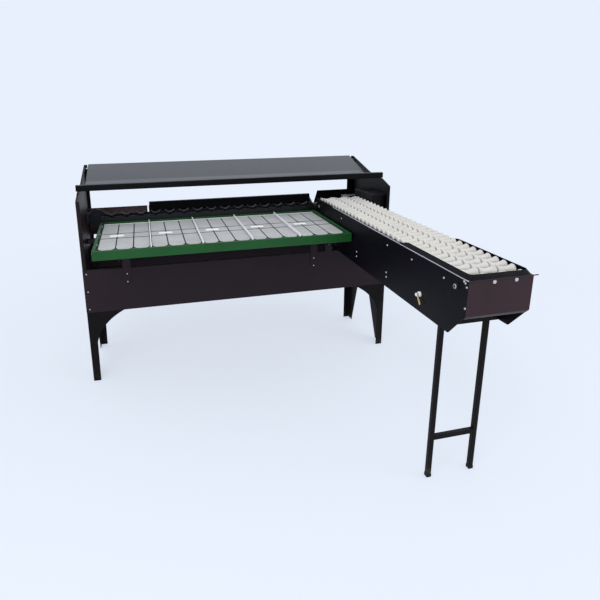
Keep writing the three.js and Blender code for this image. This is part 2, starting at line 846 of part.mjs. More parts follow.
// Outline of one row of rollers on its rod, turned about the rod
function rowProfile(withRollers) {
  const start = (chainLeft[0] + chainLeft[1]) / 2;
  const end = (chainRight[0] + chainRight[1]) / 2;
  const points = [[0, start], [rodRadius, start]];
  if (withRollers) {
    const from = chainLeft[1] + chainRollerGap;
    const lane = (chainRight[0] - chainRollerGap - from) / lanesOfRollers;
    points.push([rodRadius, from]);
    for (let i = 0; i < lanesOfRollers; i += 1) {
      const left = from + lane * i + (i > 0 ? laneGroove / 2 : 0);
      const right = from + lane * (i + 1) - (i < lanesOfRollers - 1 ? laneGroove / 2 : 0);
      if (i > 0) points.push([laneGrooveRadius, from + lane * i]);
      points.push([rollerRadius, left], [rollerWaist, (left + right) / 2], [rollerRadius, right]);
    }
    points.push([rodRadius, chainRight[0] - chainRollerGap]);
  }
  points.push([rodRadius, end], [0, end]);
  return points;
}

function row([y, z], withRollers) {
  const outline = rowProfile(withRollers).map(([radius, x]) => new THREE.Vector2(radius, x));
  const geometry = new THREE.LatheGeometry(outline, rollerSides);
  geometry.applyMatrix4(new THREE.Matrix4().makeBasis(
    new THREE.Vector3(0, 1, 0), new THREE.Vector3(1, 0, 0), new THREE.Vector3(0, 0, -1)));
  geometry.translate(0, y, z);
  return solid(geometry);
}

function rollerChain() {
  const arc = Math.PI * sprocketRadius;
  const rows = Array.from({ length: rowCount }, (_, i) => {
    const distance = loopLength * (i + 0.5) / rowCount;
    const carriesEggs = distance < runLength + arc / 2 || distance > loopLength - arc / 2;
    return row(loopPoint(distance), carriesEggs);
  });
  return join([chain(chainLeft), chain(chainRight), ...rows]);
}

add('roller_chain', rollerChain(), whitePlastic);

// Shafts, each with two sprocket discs inside the chains, and their flange bearings

const sprocketDisc = sprocketRadius - chainThickness / 2 - runGap;

function shaft(place, x) {
  const discs = [chainLeft, chainRight].map((span) => rodX(span, place, sprocketDisc));
  return join([rodX(x, place, shaftRadius), ...discs]);
}

const bearingLeft = [conveyorLeft - seatGap - bearingThickness, conveyorLeft - seatGap];
const bearingRight = [conveyorRight + seatGap, conveyorRight + seatGap + bearingThickness];
const gearboxX = [bearingRight[1] + seatGap, bearingRight[1] + seatGap + gearboxWidth];

function bearing(place, x) {
  const bore = rodX([x[0] - overrun, x[1] + overrun], place, shaftRadius + runGap);
  return cut(rodX(x, place, bearingRadius), [bore]);
}

add('tail_shaft', shaft(shaftPlaces.tail, [bearingLeft[0] - shaftStickOut, bearingRight[1] + shaftStickOut]),
  brushedSteel);
add('drive_shaft', shaft(shaftPlaces.drive,
  [bearingLeft[0] - shaftStickOut, gearboxX[1] - shaftStickOut * 2]), brushedSteel);
for (const [end, place] of Object.entries(shaftPlaces)) {
  add(`bearing_${end}_left`, bearing(place, bearingLeft), brushedSteel);
  add(`bearing_${end}_right`, bearing(place, bearingRight), brushedSteel);
}

// Candling lamp: three lit housings on cross bars, between the two runs of the chain

function candlingLamp() {
  const z = [shaftHeight - lampHousingHeight / 2, shaftHeight + lampHousingHeight / 2];
  const start = conveyorFront + lampSetback;
  const from = chainLeft[1];
  const lane = (chainRight[0] - from) / lanesOfRollers;
  const housings = Array.from({ length: lanesOfRollers }, (_, i) => {
    const middle = from + lane * (i + 0.5);
    return box([middle - lampHousingWidth / 2, middle + lampHousingWidth / 2],
      [start, start + lampLength], z);
  });
  const barX = [wallInnerLeft + seatGap, wallInnerRight - seatGap];
  const bars = [start + lampBarDepth, start + lampLength - lampBarDepth * 2].map((y) =>
    box(barX, [y, y + lampBarDepth], [z[0], shaftHeight]));
  return join([...housings, ...bars]);
}

add('candling_lamp', candlingLamp(), lampGlass);

function bellyTray() {
  const x = [wallInnerLeft + seatGap, wallInnerRight - seatGap];
  const y = [conveyorFront + standSetback + standTube + trayStandGap, conveyorBack - trayBackGap];
  const z = conveyorBottom + trayLift;
  const outer = box(x, y, [z, z + trayHeight]);
  const pocket = box([x[0] + traySheet, x[1] - traySheet], [y[0] + traySheet, y[1] - traySheet],
    [z + traySheet, z + trayHeight + overrun]);
  return cut(outer, [pocket]);
}

add('belly_tray', bellyTray(), blackPaint);

// Conveyor gearmotor on the drive shaft, under a cover between the trough and the end plate

function conveyorGearmotor() {
  const [y, z] = shaftPlaces.drive;
  const gearbox = box(gearboxX, [y - gearboxDepth / 2, y + gearboxDepth / 2],
    [z - gearboxHeight / 2, z + gearboxHeight / 2]);
  const middle = (gearboxX[0] + gearboxX[1]) / 2;
  const motor = rodY([y - gearboxDepth / 2 - motorLength, y - gearboxDepth / 2 + overrun], [middle, z],
    motorRadius);
  const mount = box([middle, innerRight], [y - gearboxDepth / 4, y + gearboxDepth / 4],
    [z - gearboxHeight / 2, z]);
  const bore = rodX([gearboxX[0] - overrun, gearboxX[1] - shaftStickOut], [y, z], shaftRadius + runGap);
  return cut(join([gearbox, motor, mount]), [bore]);
}

add('conveyor_gearmotor', conveyorGearmotor(), motorPaint);

function driveCover() {
  const [y] = shaftPlaces.drive;
  const x = [conveyorRight + seatGap, innerRight];
  const depth = [y - gearboxDepth / 2 - motorLength - coverFrontGap, y + gearboxDepth / 2 + coverBackGap];
  const bottom = shaftHeight + bearingRadius + coverLift;
  const top = bottom + coverHeight;
  const outer = box(x, depth, [bottom, top]);
  const hollow = box([x[0] + coverSheet, x[1] - coverSheet], [depth[0] + coverSheet, depth[1] - coverSheet],
    [bottom - overrun, top - coverSheet]);
  return cut(outer, [hollow]);
}

add('drive_cover', driveCover(), blackPaint);

// Stand: two square legs, a low crossbar and a top bar between the trough walls

function standFrame() {
  const y = [conveyorFront + standSetback, conveyorFront + standSetback + standTube];
  const left = [wallInnerLeft + seatGap, wallInnerLeft + seatGap + standTube];
  const right = [wallInnerRight - standRightInset - standTube, wallInnerRight - standRightInset];
  const topBar = box([left[0], wallInnerRight - seatGap], y, [conveyorBottom, conveyorBottom + standTube]);
  const crossbar = box([left[1] - standWall, right[0] + standWall], y,
    [standCrossbarHeight, standCrossbarHeight + standTube]);
  const legs = [left, right].map((x) => box(x, y, [0, conveyorBottom + standWall]));
  return join([topBar, crossbar, ...legs]);
}

add('stand_frame', standFrame(), blackPaint);

// Weighing levers: a cup over a hub on the pivot rod, with an arm down and back to its weight

const pivotPlace = [pivotDepth, pivotHeight];
const cupY = [cupCentre - cupDepth / 2, cupCentre + cupDepth / 2];

function seatOutline(middle) {
  const half = cupWidth / 2;
  const flat = half * cupFlatShare;
  const seat = cupHeight - cupSeatDrop;
  const top = [[-half, cupHeight], [-flat, seat], [flat, seat], [half, cupHeight]];
  const under = top.map(([x, z]) => [x, z - cupThickness]).reverse();
  return [...top, ...under].map(([x, z]) => [middle + x, z]);
}

function weighLever(middle) {
  const web = [middle - leverThickness / 2, middle + leverThickness / 2];
  const hub = [middle - hubWidth / 2, middle + hubWidth / 2];
  const weight = [middle - weightWidth / 2, middle + weightWidth / 2];
  const weightPlace = [pivotDepth + leverReach, pivotHeight - leverDrop];
  const arm = prismX([
    [pivotDepth - hubRadius, cupHeight - cupSeatDrop - cupThickness / 2],
    [pivotDepth - hubRadius, pivotHeight],
    [pivotDepth - leverBar / 2, pivotHeight],
    [pivotDepth - leverBar / 2, pivotHeight - leverDrop - leverBar / 2],
    [pivotDepth + leverReach, pivotHeight - leverDrop - leverBar / 2],
    [pivotDepth + leverReach, pivotHeight - leverDrop + leverBar / 2],
    [pivotDepth + leverBar / 2, pivotHeight - leverDrop + leverBar / 2],
    [pivotDepth + leverBar / 2, pivotHeight],
    [cupY[1], cupHeight - cupSeatDrop - cupThickness / 2],
  ].reverse(), web);
  const body = join([
    prismY(seatOutline(middle), cupY),
    arm,
    rodX(hub, pivotPlace, hubRadius, smallSides),
    rodX(weight, weightPlace, weightRadius, smallSides),
  ]);
  const bore = rodX([hub[0] - overrun, hub[1] + overrun], pivotPlace, pivotRadius + runGap, smallSides);
  return cut(body, [bore]);
}

for (let i = 0; i < leverCount; i += 1) {
  const number = String(i + 1).padStart(2, '0');
  add(`weigh_lever_${number}`, weighLever(laneLeft + columnWidth * (i + 0.5)), blackPlastic);
}

// Station beam: a tube between the end plates with posts for the pivot rod and fixed cradles

const postPlaces = Array.from({ length: laneCount + 1 }, (_, i) => laneLeft + laneWidth * i);
const rodSpan = [postPlaces[0] - leverRodReach, postPlaces[laneCount] + leverRodReach];

function stationBeam() {
  const y = [cupCentre - stationBeamDepth / 2, cupCentre + stationBeamDepth / 2 + stationPostDepth / 2];
  const beam = box([innerLeft, innerRight], y, [stationBeamTop - stationBeamHeight, stationBeamTop]);
  const posts = postPlaces.map((x) => box([x - stationPostWidth / 2, x + stationPostWidth / 2],
    [pivotDepth - stationPostDepth / 2, pivotDepth + stationPostDepth / 2 - leverBar],
    [stationBeamTop - overrun, pivotHeight + stationPostRise]));
  const cradles = Array.from({ length: cradleCount }, (_, i) => {
    const middle = laneLeft + columnWidth * (leverCount + i + 0.5);
    const stem = box([middle - cradleThickness / 2, middle + cradleThickness / 2],
      cupY, [stationBeamTop - overrun, cupHeight - cupSeatDrop - cupThickness / 2]);
    return join([prismY(seatOutline(middle), cupY), stem]);
  });
  const bore = rodX([rodSpan[0] - overrun, rodSpan[1] + overrun], pivotPlace, pivotRadius + seatGap);
  return cut(join([beam, ...posts, ...cradles]), [bore]);
}

add('station_beam', stationBeam(), darkSteel);
add('lever_pivot_rod', rodX(rodSpan, pivotPlace, pivotRadius), brushedSteel);

// Walking beam: two notched combs tied at both ends, hung on the pins of two cranks. It rests at
// the right end of its stroke, which is one column wide
const crankRadius = columnWidth / 2;
const combSpan = [
  rodSpan[0] - combRodGap - combCrossWidth - combCrossInset,
  bodyLength - combEndReach + combCrossInset,
];
const crankPins = {
  idler: combSpan[0] + combCrossInset + combCrossWidth + crankPinGap + crankPinRadius,
  drive: combSpan[1] - combCrossInset - combCrossWidth - crankPinGap - crankPinRadius,
};
const crankHeight = combTop - combHeight / 2;

function combOutline() {
  const bottom = combTop - combHeight;
  const points = [[combSpan[0], bottom], [combSpan[1], bottom], [combSpan[1], combTop]];
  for (let i = leverCount + cradleCount - 1; i >= 0; i -= 1) {
    const middle = laneLeft + columnWidth * (i + 0.5);
    points.push([middle + combNotchHalf, combTop], [middle, combTop - combNotchDepth],
      [middle - combNotchHalf, combTop]);
  }
  points.push([combSpan[0], combTop]);
  return points;
}

function walkingBeam() {
  const front = prismY(combOutline(), [combFront, combFront + combSheet]);
  const back = prismY(combOutline(), [combBack, combBack + combSheet]);
  const z = [combTop - combHeight + combCrossInset, combTop - combCrossInset];
  const y = [combFront + combSheet / 2, combBack + combSheet / 2];
  const ties = [combSpan[0] + combCrossInset, combSpan[1] - combCrossInset - combCrossWidth].map((x) =>
    box([x, x + combCrossWidth], y, z));
  const holes = Object.values(crankPins).map((x) =>
    rodY([combBack - overrun, combBack + combSheet + overrun], [x, crankHeight], crankPinRadius + runGap));
  return cut(join([front, back, ...ties]), holes);
}

add('walking_beam', walkingBeam(), brushedSteel);

// Cranks: a disc on a shaft, with its pin beside the shaft, to the right
const crankDiscRadius = crankRadius + crankPinRadius + crankDiscMargin;
const discFront = combBack + combSheet + crankDiscGap;
const discBack = discFront + crankDiscThickness;
const blockFront = discBack + crankDiscGap;
const crankShafts = { idler: crankPins.idler - crankRadius, drive: crankPins.drive - crankRadius };

function crank(end) {
  const shaftX = crankShafts[end];
  return join([
    rodY([discFront, discBack], [shaftX, crankHeight], crankDiscRadius),
    rodY([combBack - crankPinStickOut, discFront + crankDiscThickness / 2], [crankPins[end], crankHeight],
      crankPinRadius),
    rodY([discBack - crankDiscThickness / 2, discBack + crankShaftLength], [shaftX, crankHeight],
      crankShaftRadius),
  ]);
}

add('crank_idler', crank('idler'), brushedSteel);
add('crank_drive', crank('drive'), brushedSteel);

function crankBore(x) {
  return rodY([blockFront - overrun, discBack + crankShaftLength + runGap], [x, crankHeight],
    crankShaftRadius + runGap);
}

function crankBearing() {
  const x = crankShafts.idler;
  const block = box([innerLeft, x + crankBlockWidth / 2], [blockFront, blockFront + crankBlockDepth],
    [crankHeight - crankBlockHeight / 2, crankHeight + crankBlockHeight / 2]);
  return cut(block, [crankBore(x)]);
}

function beamGearmotor() {
  const x = crankShafts.drive;
  const gearbox = box([x - beamGearboxWidth / 2, innerRight], [blockFront, blockFront + beamGearboxDepth],
    [crankHeight - beamGearboxHeight / 2, crankHeight + beamGearboxHeight / 2]);
  const z = crankHeight - beamGearboxHeight / 2;
  const motor = new THREE.CylinderGeometry(beamMotorRadius, beamMotorRadius, beamMotorLength, roundSides);
  motor.rotateX(Math.PI / 2);
  motor.translate(x, blockFront + beamGearboxDepth / 2, z - beamMotorLength / 2 + overrun);
  return cut(join([gearbox, solid(motor)]), [crankBore(x)]);
}

add('crank_bearing', crankBearing(), darkSteel);
add('beam_gearmotor', beamGearmotor(), motorPaint);

// Lamp switch on the trough's left wall: a round boss and a lever that turns on its pin

const switchPlace = [conveyorFront + switchSetback, conveyorBottom + switchLift];

function switchBody() {
  const x1 = conveyorLeft - seatGap;
  const x0 = x1 - switchBossLength;
  const pinEnd = x0 - runGap - switchLeverThickness - runGap;
  return join([
    rodX([x0, x1], switchPlace, switchBossRadius),
    rodX([pinEnd, x1], switchPlace, switchPivotRadius),
    rodX([pinEnd - switchCapLength, pinEnd], switchPlace, switchHubRadius - runGap),
  ]);
}

function switchLever() {
  const x1 = conveyorLeft - seatGap - switchBossLength - runGap;
  const x = [x1 - switchLeverThickness, x1];
  const along = [-Math.sin(switchLeverAngle), -Math.cos(switchLeverAngle)];
  const across = [along[1], -along[0]];
  const at = (length, width) => [
    switchPlace[0] + along[0] * length + across[0] * width,
    switchPlace[1] + along[1] * length + across[1] * width,
  ];
  const half = switchLeverWidth / 2;
  const bar = prismX([at(0, -half), at(switchLeverLength, -half), at(switchLeverLength, half), at(0, half)], x);
  const bore = rodX([x[0] - overrun, x[1] + overrun], switchPlace, switchPivotRadius + runGap);
  return cut(join([bar, rodX(x, switchPlace, switchHubRadius)]), [bore]);
}

add('switch_body', switchBody(), whitePlastic);
add('switch_lever', switchLever(), brass);

// Power inlet on the outside of the right end plate

function powerInlet() {
  const x = [bodyLength + seatGap, bodyLength + seatGap + inletDepth];
  const y = (lowerDepth - inletWidth) * inletDepthShare;
  const z = plateBottom + inletLift;
  const block = box(x, [y, y + inletWidth], [z, z + inletHeight]);
  const y0 = y + (inletWidth - inletPocketWidth) / 2;
  const z0 = z + (inletHeight - inletPocketHeight) / 2;
  const pocket = box([x[1] - inletPocketDepth, x[1] + overrun], [y0, y0 + inletPocketWidth],
    [z0, z0 + inletPocketHeight]);
  return cut(block, [pocket]);
}

add('power_inlet', powerInlet(), blackPlastic);

// The origin goes under the middle of the machine, on the floor

const bounds = new THREE.Box3().setFromObject(group);
const middle = bounds.getCenter(new THREE.Vector3());
group.position.set(-middle.x, -middle.y, -bounds.min.z);

export default group;
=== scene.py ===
"""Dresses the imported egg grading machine: its shapes, its finishes, the studio and the camera."""

import logging
import math
from collections.abc import Callable, Iterator, Sequence
from contextlib import contextmanager
from dataclasses import dataclass
from enum import Enum
from typing import Any

import bmesh
import bpy
from mathutils import Matrix, Vector


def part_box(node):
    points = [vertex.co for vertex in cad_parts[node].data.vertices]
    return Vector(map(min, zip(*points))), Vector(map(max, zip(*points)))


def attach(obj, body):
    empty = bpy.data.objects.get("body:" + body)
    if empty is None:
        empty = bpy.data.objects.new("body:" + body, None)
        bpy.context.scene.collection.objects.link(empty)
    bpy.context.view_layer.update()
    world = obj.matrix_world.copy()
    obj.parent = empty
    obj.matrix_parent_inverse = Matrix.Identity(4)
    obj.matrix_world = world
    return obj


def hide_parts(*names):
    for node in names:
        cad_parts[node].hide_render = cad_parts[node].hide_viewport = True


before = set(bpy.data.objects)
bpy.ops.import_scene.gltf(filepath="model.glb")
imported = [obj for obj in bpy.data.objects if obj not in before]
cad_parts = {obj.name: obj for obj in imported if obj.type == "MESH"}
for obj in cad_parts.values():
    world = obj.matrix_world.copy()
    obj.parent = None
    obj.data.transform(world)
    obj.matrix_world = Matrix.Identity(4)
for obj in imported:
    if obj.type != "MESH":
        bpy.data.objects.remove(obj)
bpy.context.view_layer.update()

log = logging.getLogger("egg_grader")

MM = 0.001
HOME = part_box("end_plate_left")[0]
BODY_LENGTH = 1600.0
SHEET_EDGE_ANGLE = 60.0
SHAFT_HEIGHT = 797.0
CHAINS = ((1278.0, 1283.0), (1503.0, 1508.0))
LANES_LEFT = 98.0
LANE = 230.0
COLUMN = LANE / 3
LEVER_PIVOT = (338.0, 768.0)
HOOD_PIVOT = (488.0, 1022.0)

Place = Sequence[float]
Span = tuple[float, float]
Colour = tuple[float, float, float, float]


def at(x: float, y: float, z: float) -> Vector:
    """A point in metres, from millimetres off the left end plate, the body's front and the floor."""
    return Vector((HOME.x + x * MM, HOME.y + y * MM, z * MM))


def paint(red: int, green: int, blue: int) -> Colour:
    """A paint colour for the shader.

    Args:
        red: red as it looks on a screen, 0 to 255.
        green: green, 0 to 255.
        blue: blue, 0 to 255.

    Returns:
        The colour in linear light, with full alpha.
    """
    def linear(level: float) -> float:
        """One channel in linear light."""
        share = level / 255
        return share / 12.92 if share <= 0.04045 else ((share + 0.055) / 1.055) ** 2.4
    return (linear(red), linear(green), linear(blue), 1.0)


def shaded(colour: Colour, factor: float) -> Colour:
    """The same paint, lighter or darker by a factor."""
    return (colour[0] * factor, colour[1] * factor, colour[2] * factor, 1.0)


class Axis(Enum):
    """The direction along which a turned or extruded shape runs."""

    X = 0
    Y = 1
    Z = 2

    @property
    def unit(self) -> Vector:
        """A step of one metre along the axis."""
        return Vector([1.0 if i == self.value else 0.0 for i in range(3)])

    def point(self, across: Place, along: float) -> Vector:
        """A point from its two places across the axis, in x, y, z order, and one along it."""
        return at(*across[:self.value], along, *across[self.value:])

    def off_centre(self, centre: Place, radius: float, along: float) -> Vector:
        """A point at a radius from the axis, upward or, for a standing axis, to the right."""
        first, second = centre
        return self.point((first + radius, second) if self is Axis.Z else (first, second + radius), along)


class Side(Enum):
    """The two ends of the machine, seen from the front."""

    LEFT = "left"
    RIGHT = "right"

    def x(self, depth: float) -> float:
        """The place across the machine at a depth inward from this end."""
        return depth if self is Side.LEFT else BODY_LENGTH - depth

    @property
    def inward(self) -> float:
        """The sign of a step from this end toward the middle."""
        return 1.0 if self is Side.LEFT else -1.0


class End(Enum):
    """The front and the back of the machine."""

    FRONT = "front"
    BACK = "back"


class Kind(Enum):
    """What a pick selects in edit mode."""

    VERT = "VERT"
    EDGE = "EDGE"
    FACE = "FACE"


class Slot(Enum):
    """The record's material slots."""

    BLACK_PAINT = "black_paint"
    BROWN_PAINT = "brown_paint"
    HOOD_PAINT = "hood_paint"
    GREEN_PAINT = "green_paint"
    GREY_MAT = "grey_mat"
    WHITE_PLASTIC = "white_plastic"
    BLACK_PLASTIC = "black_plastic"
    BRUSHED_STEEL = "brushed_steel"
    DARK_STEEL = "dark_steel"
    BRASS = "brass"
    MOTOR_PAINT = "motor_paint"
    LAMP = "lamp"


Test = Callable[[Vector, Vector], bool]
STRAIGHT = 0.9


def looks_up(_: Vector, way: Vector) -> bool:
    """Whether a face looks up."""
    return way.z > STRAIGHT


def runs_along(axis: Axis) -> Test:
    """A test for edges that run along an axis, or faces that look along it either way."""
    return lambda _, way: abs(way[axis.value]) > STRAIGHT


def near(value: float, wanted: float, slack: float = 0.3) -> bool:
    """Whether two lengths in millimetres agree."""
    return abs(value - wanted) < slack


def bare_bench() -> None:
    """Leaves edit mode and selects nothing, so that the next operator acts on its own piece only."""
    if bpy.context.mode != "OBJECT":
        bpy.ops.object.mode_set(mode="OBJECT")
    bpy.ops.object.select_all(action="DESELECT")


# Shader maths


class Flow:
    """A shader socket that takes part in expressions."""

    def __init__(self, bench: "NodeBench", socket: bpy.types.NodeSocket) -> None:
        """Keeps the socket and the bench that adds its Math nodes."""
        self.bench = bench
        self.socket = socket

    def __add__(self, other: "Flow | float") -> "Flow":
        """The sum."""
        return self.bench.maths("ADD", self, other)

    def __radd__(self, other: float) -> "Flow":
        """The sum, from the right."""
        return self.bench.maths("ADD", other, self)

    def __sub__(self, other: "Flow | float") -> "Flow":
        """The difference."""
        return self.bench.maths("SUBTRACT", self, other)

    def __rsub__(self, other: float) -> "Flow":
        """The difference, from the right, as in 1 - mask."""
        return self.bench.maths("SUBTRACT", other, self)

    def __mul__(self, other: "Flow | float") -> "Flow":
        """The product."""
        return self.bench.maths("MULTIPLY", self, other)

    def __rmul__(self, other: float) -> "Flow":
        """The product, from the right."""
        return self.bench.maths("MULTIPLY", other, self)

    def __pow__(self, power: float) -> "Flow":
        """The power."""
        return self.bench.maths("POWER", self, power)


class NodeBench:
    """Lays out the nodes of one material, or of the world."""

    def __init__(self, name: str, world: bpy.types.World | None = None) -> None:
        """Starts an empty material of that name, or empties the given world."""
        self.material = world or bpy.data.materials.new(name)
        self.material.use_nodes = True
        self.tree = self.material.node_tree
        self.tree.nodes.clear()

    def node(self, kind: str, settings: dict[str, Any] | None = None,
             inputs: dict[str | int, Any] | None = None, output: str | int = 0) -> Flow:
        """Adds a node.

        Args:
            kind: the node's type.
            settings: its settings, and under "stops" the stops of a ramp, which are set first.
            inputs: values or flows by socket name or number.
            output: which of its outputs the expression goes on with.

        Returns:
            The chosen output.
        """
        made = self.tree.nodes.new(kind)
        for name, value in (settings or {}).items():
            if name == "stops":
                self._set_stops(made.color_ramp, value)
            else:
                setattr(made, name, value)
        for name, value in (inputs or {}).items():
            if isinstance(value, Flow):
                self.tree.links.new(value.socket, made.inputs[name])
            else:
                made.inputs[name].default_value = value
        return Flow(self, made.outputs[output])

    @staticmethod
    def _set_stops(ramp: bpy.types.ColorRamp, stops: Sequence[tuple[float, Colour]]) -> None:
        """Gives a ramp its stops.

        Args:
            ramp: the ramp, which has two stops when it is new.
            stops: place and colour of each.
        """
        while len(ramp.elements) < len(stops):
            ramp.elements.new(1.0)
        for element, (place, colour) in zip(ramp.elements, stops):
            element.position, element.color = place, colour

    def maths(self, operation: str, *values: "Flow | float") -> Flow:
        """One Math node on flows and numbers."""
        return self.node("ShaderNodeMath", {"operation": operation}, dict(enumerate(values)))

    def mixed(self, mask: "Flow | float", first: Any, second: Any, blend: str = "MIX") -> Flow:
        """A colour between two, by a mask."""
        return self.node("ShaderNodeMix", {"data_type": "RGBA", "blend_type": blend},
                         {0: mask, 6: first, 7: second}, output=2)

    def place(self, scale: Place = (1, 1, 1)) -> Flow:
        """Object coordinates, stretched by a scale along each direction."""
        coordinates = self.node("ShaderNodeTexCoord", output="Object")
        return self.node("ShaderNodeMapping", {}, {"Vector": coordinates, "Scale": scale})

    def noise(self, scale: float, detail: float = 2.0, roughness: float = 0.5,
              stretch: Place = (1, 1, 1)) -> Flow:
        """Noise of about one half, at a scale per metre."""
        return self.node("ShaderNodeTexNoise", {}, {
            "Vector": self.place(stretch), "Scale": scale, "Detail": detail, "Roughness": roughness})

    def between(self, value: Flow, low: float, high: float) -> Flow:
        """A value clamped and stretched so that low gives 0 and high gives 1."""
        return self.node("ShaderNodeMapRange", {"clamp": True},
                         {"Value": value, "From Min": low, "From Max": high})

    def facing(self, axis: Axis) -> Flow:
        """How far the surface faces along an axis, from -1 to 1."""
        normal = self.node("ShaderNodeNewGeometry", output="Normal")
        return self.node("ShaderNodeSeparateXYZ", {}, {0: normal}, output=axis.value)

    def along(self, axis: Axis) -> Flow:
        """The object coordinate along an axis, in metres."""
        return self.node("ShaderNodeSeparateXYZ", {}, {0: self.place()}, output=axis.value)

    def bump(self, height: Flow, depth: float, strength: float = 1.0, under: Flow | None = None) -> Flow:
        """A normal from a height.

        Args:
            height: the height, from 0 to 1.
            depth: what a height of 1 is, in metres.
            strength: the share of it that shows.
            under: the normal that it adds to.

        Returns:
            The new normal.
        """
        inputs: dict[str | int, Any] = {"Height": height, "Distance": depth, "Strength": strength}
        if under is not None:
            inputs["Normal"] = under
        return self.node("ShaderNodeBump", {}, inputs)

    def finish(self, sockets: dict[str | int, Any]) -> bpy.types.Material:
        """Joins the sockets to a surface and the surface to the output."""
        self.node_output(self.node("ShaderNodeBsdfPrincipled", {}, sockets))
        return self.material

    def node_output(self, surface: Flow, kind: str = "ShaderNodeOutputMaterial") -> None:
        """Joins a surface to the output of the material or the world."""
        made = self.tree.nodes.new(kind)
        self.tree.links.new(surface.socket, made.inputs["Surface"])

    def shown(self) -> Flow:
        """One where a thing is seen directly, reflected or through glass; none where it only lights."""
        kinds = ("Camera", "Glossy", "Transmission")
        rays = [self.node("ShaderNodeLightPath", output=f"Is {kind} Ray") for kind in kinds]
        return self.maths("MAXIMUM", self.maths("MAXIMUM", rays[0], rays[1]), rays[2])


# Finishes


DUST = paint(196, 190, 180)


@dataclass(frozen=True)
class Finish:
    """A surface that is laid out once and shared by the pieces that have it."""

    name: str

    def lay(self, bench: NodeBench) -> bpy.types.Material:
        """Lays the nodes; each kind of finish has its own."""
        raise NotImplementedError

    def material(self) -> bpy.types.Material:
        """The finish's material, made at its first use."""
        return bpy.data.materials.get(self.name) or self.lay(NodeBench(self.name))


@dataclass(frozen=True)
class PowderCoat(Finish):
    """Satin powder coat with a fine peel, faint clouds and dust on what faces up."""

    colour: Colour
    roughness: float = 0.42
    dust: float = 0.04
    sheen: float = 0.22
    scuffed_feet: bool = False

    def lay(self, bench: NodeBench) -> bpy.types.Material:
        """Lays the coat's nodes.

        Args:
            bench: the material's bench.

        Returns:
            The material.
        """
        cloud = bench.noise(5.0, 4.0, 0.6)
        speck = bench.noise(420.0, 2.0)
        tone = bench.between(cloud * 0.65 + speck * 0.35, 0.32, 0.68)
        base = bench.mixed(tone, shaded(self.colour, 0.82), shaded(self.colour, 1.22))
        upward = bench.maths("MAXIMUM", bench.facing(Axis.Z), 0.0)
        dusty = (upward ** 2.0) * bench.between(bench.noise(19.0, 5.0, 0.65), 0.35, 0.75) * self.dust
        base = bench.mixed(dusty, base, DUST)
        rough = self.roughness + bench.between(cloud, 0.3, 0.7) * 0.12 + dusty * 0.8
        if self.scuffed_feet:
            low = 1 - bench.between(bench.along(Axis.Z), 0.0, 0.09)
            scuff = low * bench.between(bench.noise(90.0, 5.0, 0.7, (1, 1, 0.35)), 0.52, 0.68) * 0.3
            base = bench.mixed(scuff, base, paint(120, 116, 112))
        peel = bench.bump(bench.noise(700.0, 1.0), 0.00006, 0.6)
        waves = bench.bump(bench.noise(16.0, 2.0), 0.0006, 0.35, peel)
        return bench.finish({
            "Base Color": base, "Roughness": rough, "Normal": waves, "Specular IOR Level": self.sheen})


@dataclass(frozen=True)
class GlossEnamel(Finish):
    """Smooth enamel under a clear coat, with wiped smudges and a slight waviness of the sheet."""

    colour: Colour
    roughness: float = 0.28
    coat: float = 0.35

    def lay(self, bench: NodeBench) -> bpy.types.Material:
        """Lays the enamel's nodes.

        Args:
            bench: the material's bench.

        Returns:
            The material.
        """
        smudge = bench.between(bench.noise(2.2, 3.0, 0.5, (0.45, 1, 1)), 0.3, 0.75)
        grain = bench.noise(520.0, 2.0)
        tone = bench.between(grain, 0.35, 0.65)
        base = bench.mixed(tone, shaded(self.colour, 0.95), shaded(self.colour, 1.06))
        upward = bench.maths("MAXIMUM", bench.facing(Axis.Z), 0.0)
        dusty = upward * bench.between(bench.noise(60.0, 4.0, 0.6), 0.45, 0.8) * 0.03
        base = bench.mixed(dusty, base, DUST)
        sheet = bench.bump(bench.noise(1.6, 0.0, 0.4, (0.4, 1, 1)), 0.004, 0.25)
        peel = bench.bump(grain, 0.00004, 0.5, sheet)
        return bench.finish({
            "Base Color": base, "Roughness": self.roughness + smudge * 0.07 + dusty,
            "Coat Weight": self.coat - smudge * (self.coat * 0.3), "Coat Roughness": 0.12,
            "Normal": peel})


@dataclass(frozen=True)
class RubberMat(Finish):
    """Matt grey rubber with a fine rib across the lane, worn paler patches and painted shade on its sides.
    """

    colour: Colour
    rib: float = 0.004

    def lay(self, bench: NodeBench) -> bpy.types.Material:
        """Lays the mat's nodes.

        Args:
            bench: the material's bench.

        Returns:
            The material.
        """
        ribs = bench.node("ShaderNodeTexWave", {"wave_type": "BANDS", "bands_direction": "Y"},
                          {"Vector": bench.place(), "Scale": math.tau / (20 * self.rib)}, output=1)
        worn = bench.between(bench.noise(11.0, 4.0, 0.6), 0.34, 0.7)
        fine = bench.noise(900.0, 2.0)
        tone = worn * 0.55 + ribs * 0.2 + fine * 0.25
        base = bench.mixed(tone, shaded(self.colour, 0.86), shaded(self.colour, 1.14))
        # Faces that do not look up are painted nearly black: painted shade in the gaps between the mats.
        top = bench.between(bench.facing(Axis.Z), 0.55, 0.92)
        base = bench.mixed(top, shaded(self.colour, 0.05), base)
        groove = bench.bump(ribs, 0.0003, 0.5)
        skin = bench.bump(fine, 0.00012, 0.6, groove)
        return bench.finish({
            "Base Color": base, "Roughness": 0.78 - worn * 0.14, "Normal": skin,
            "Specular IOR Level": 0.35})


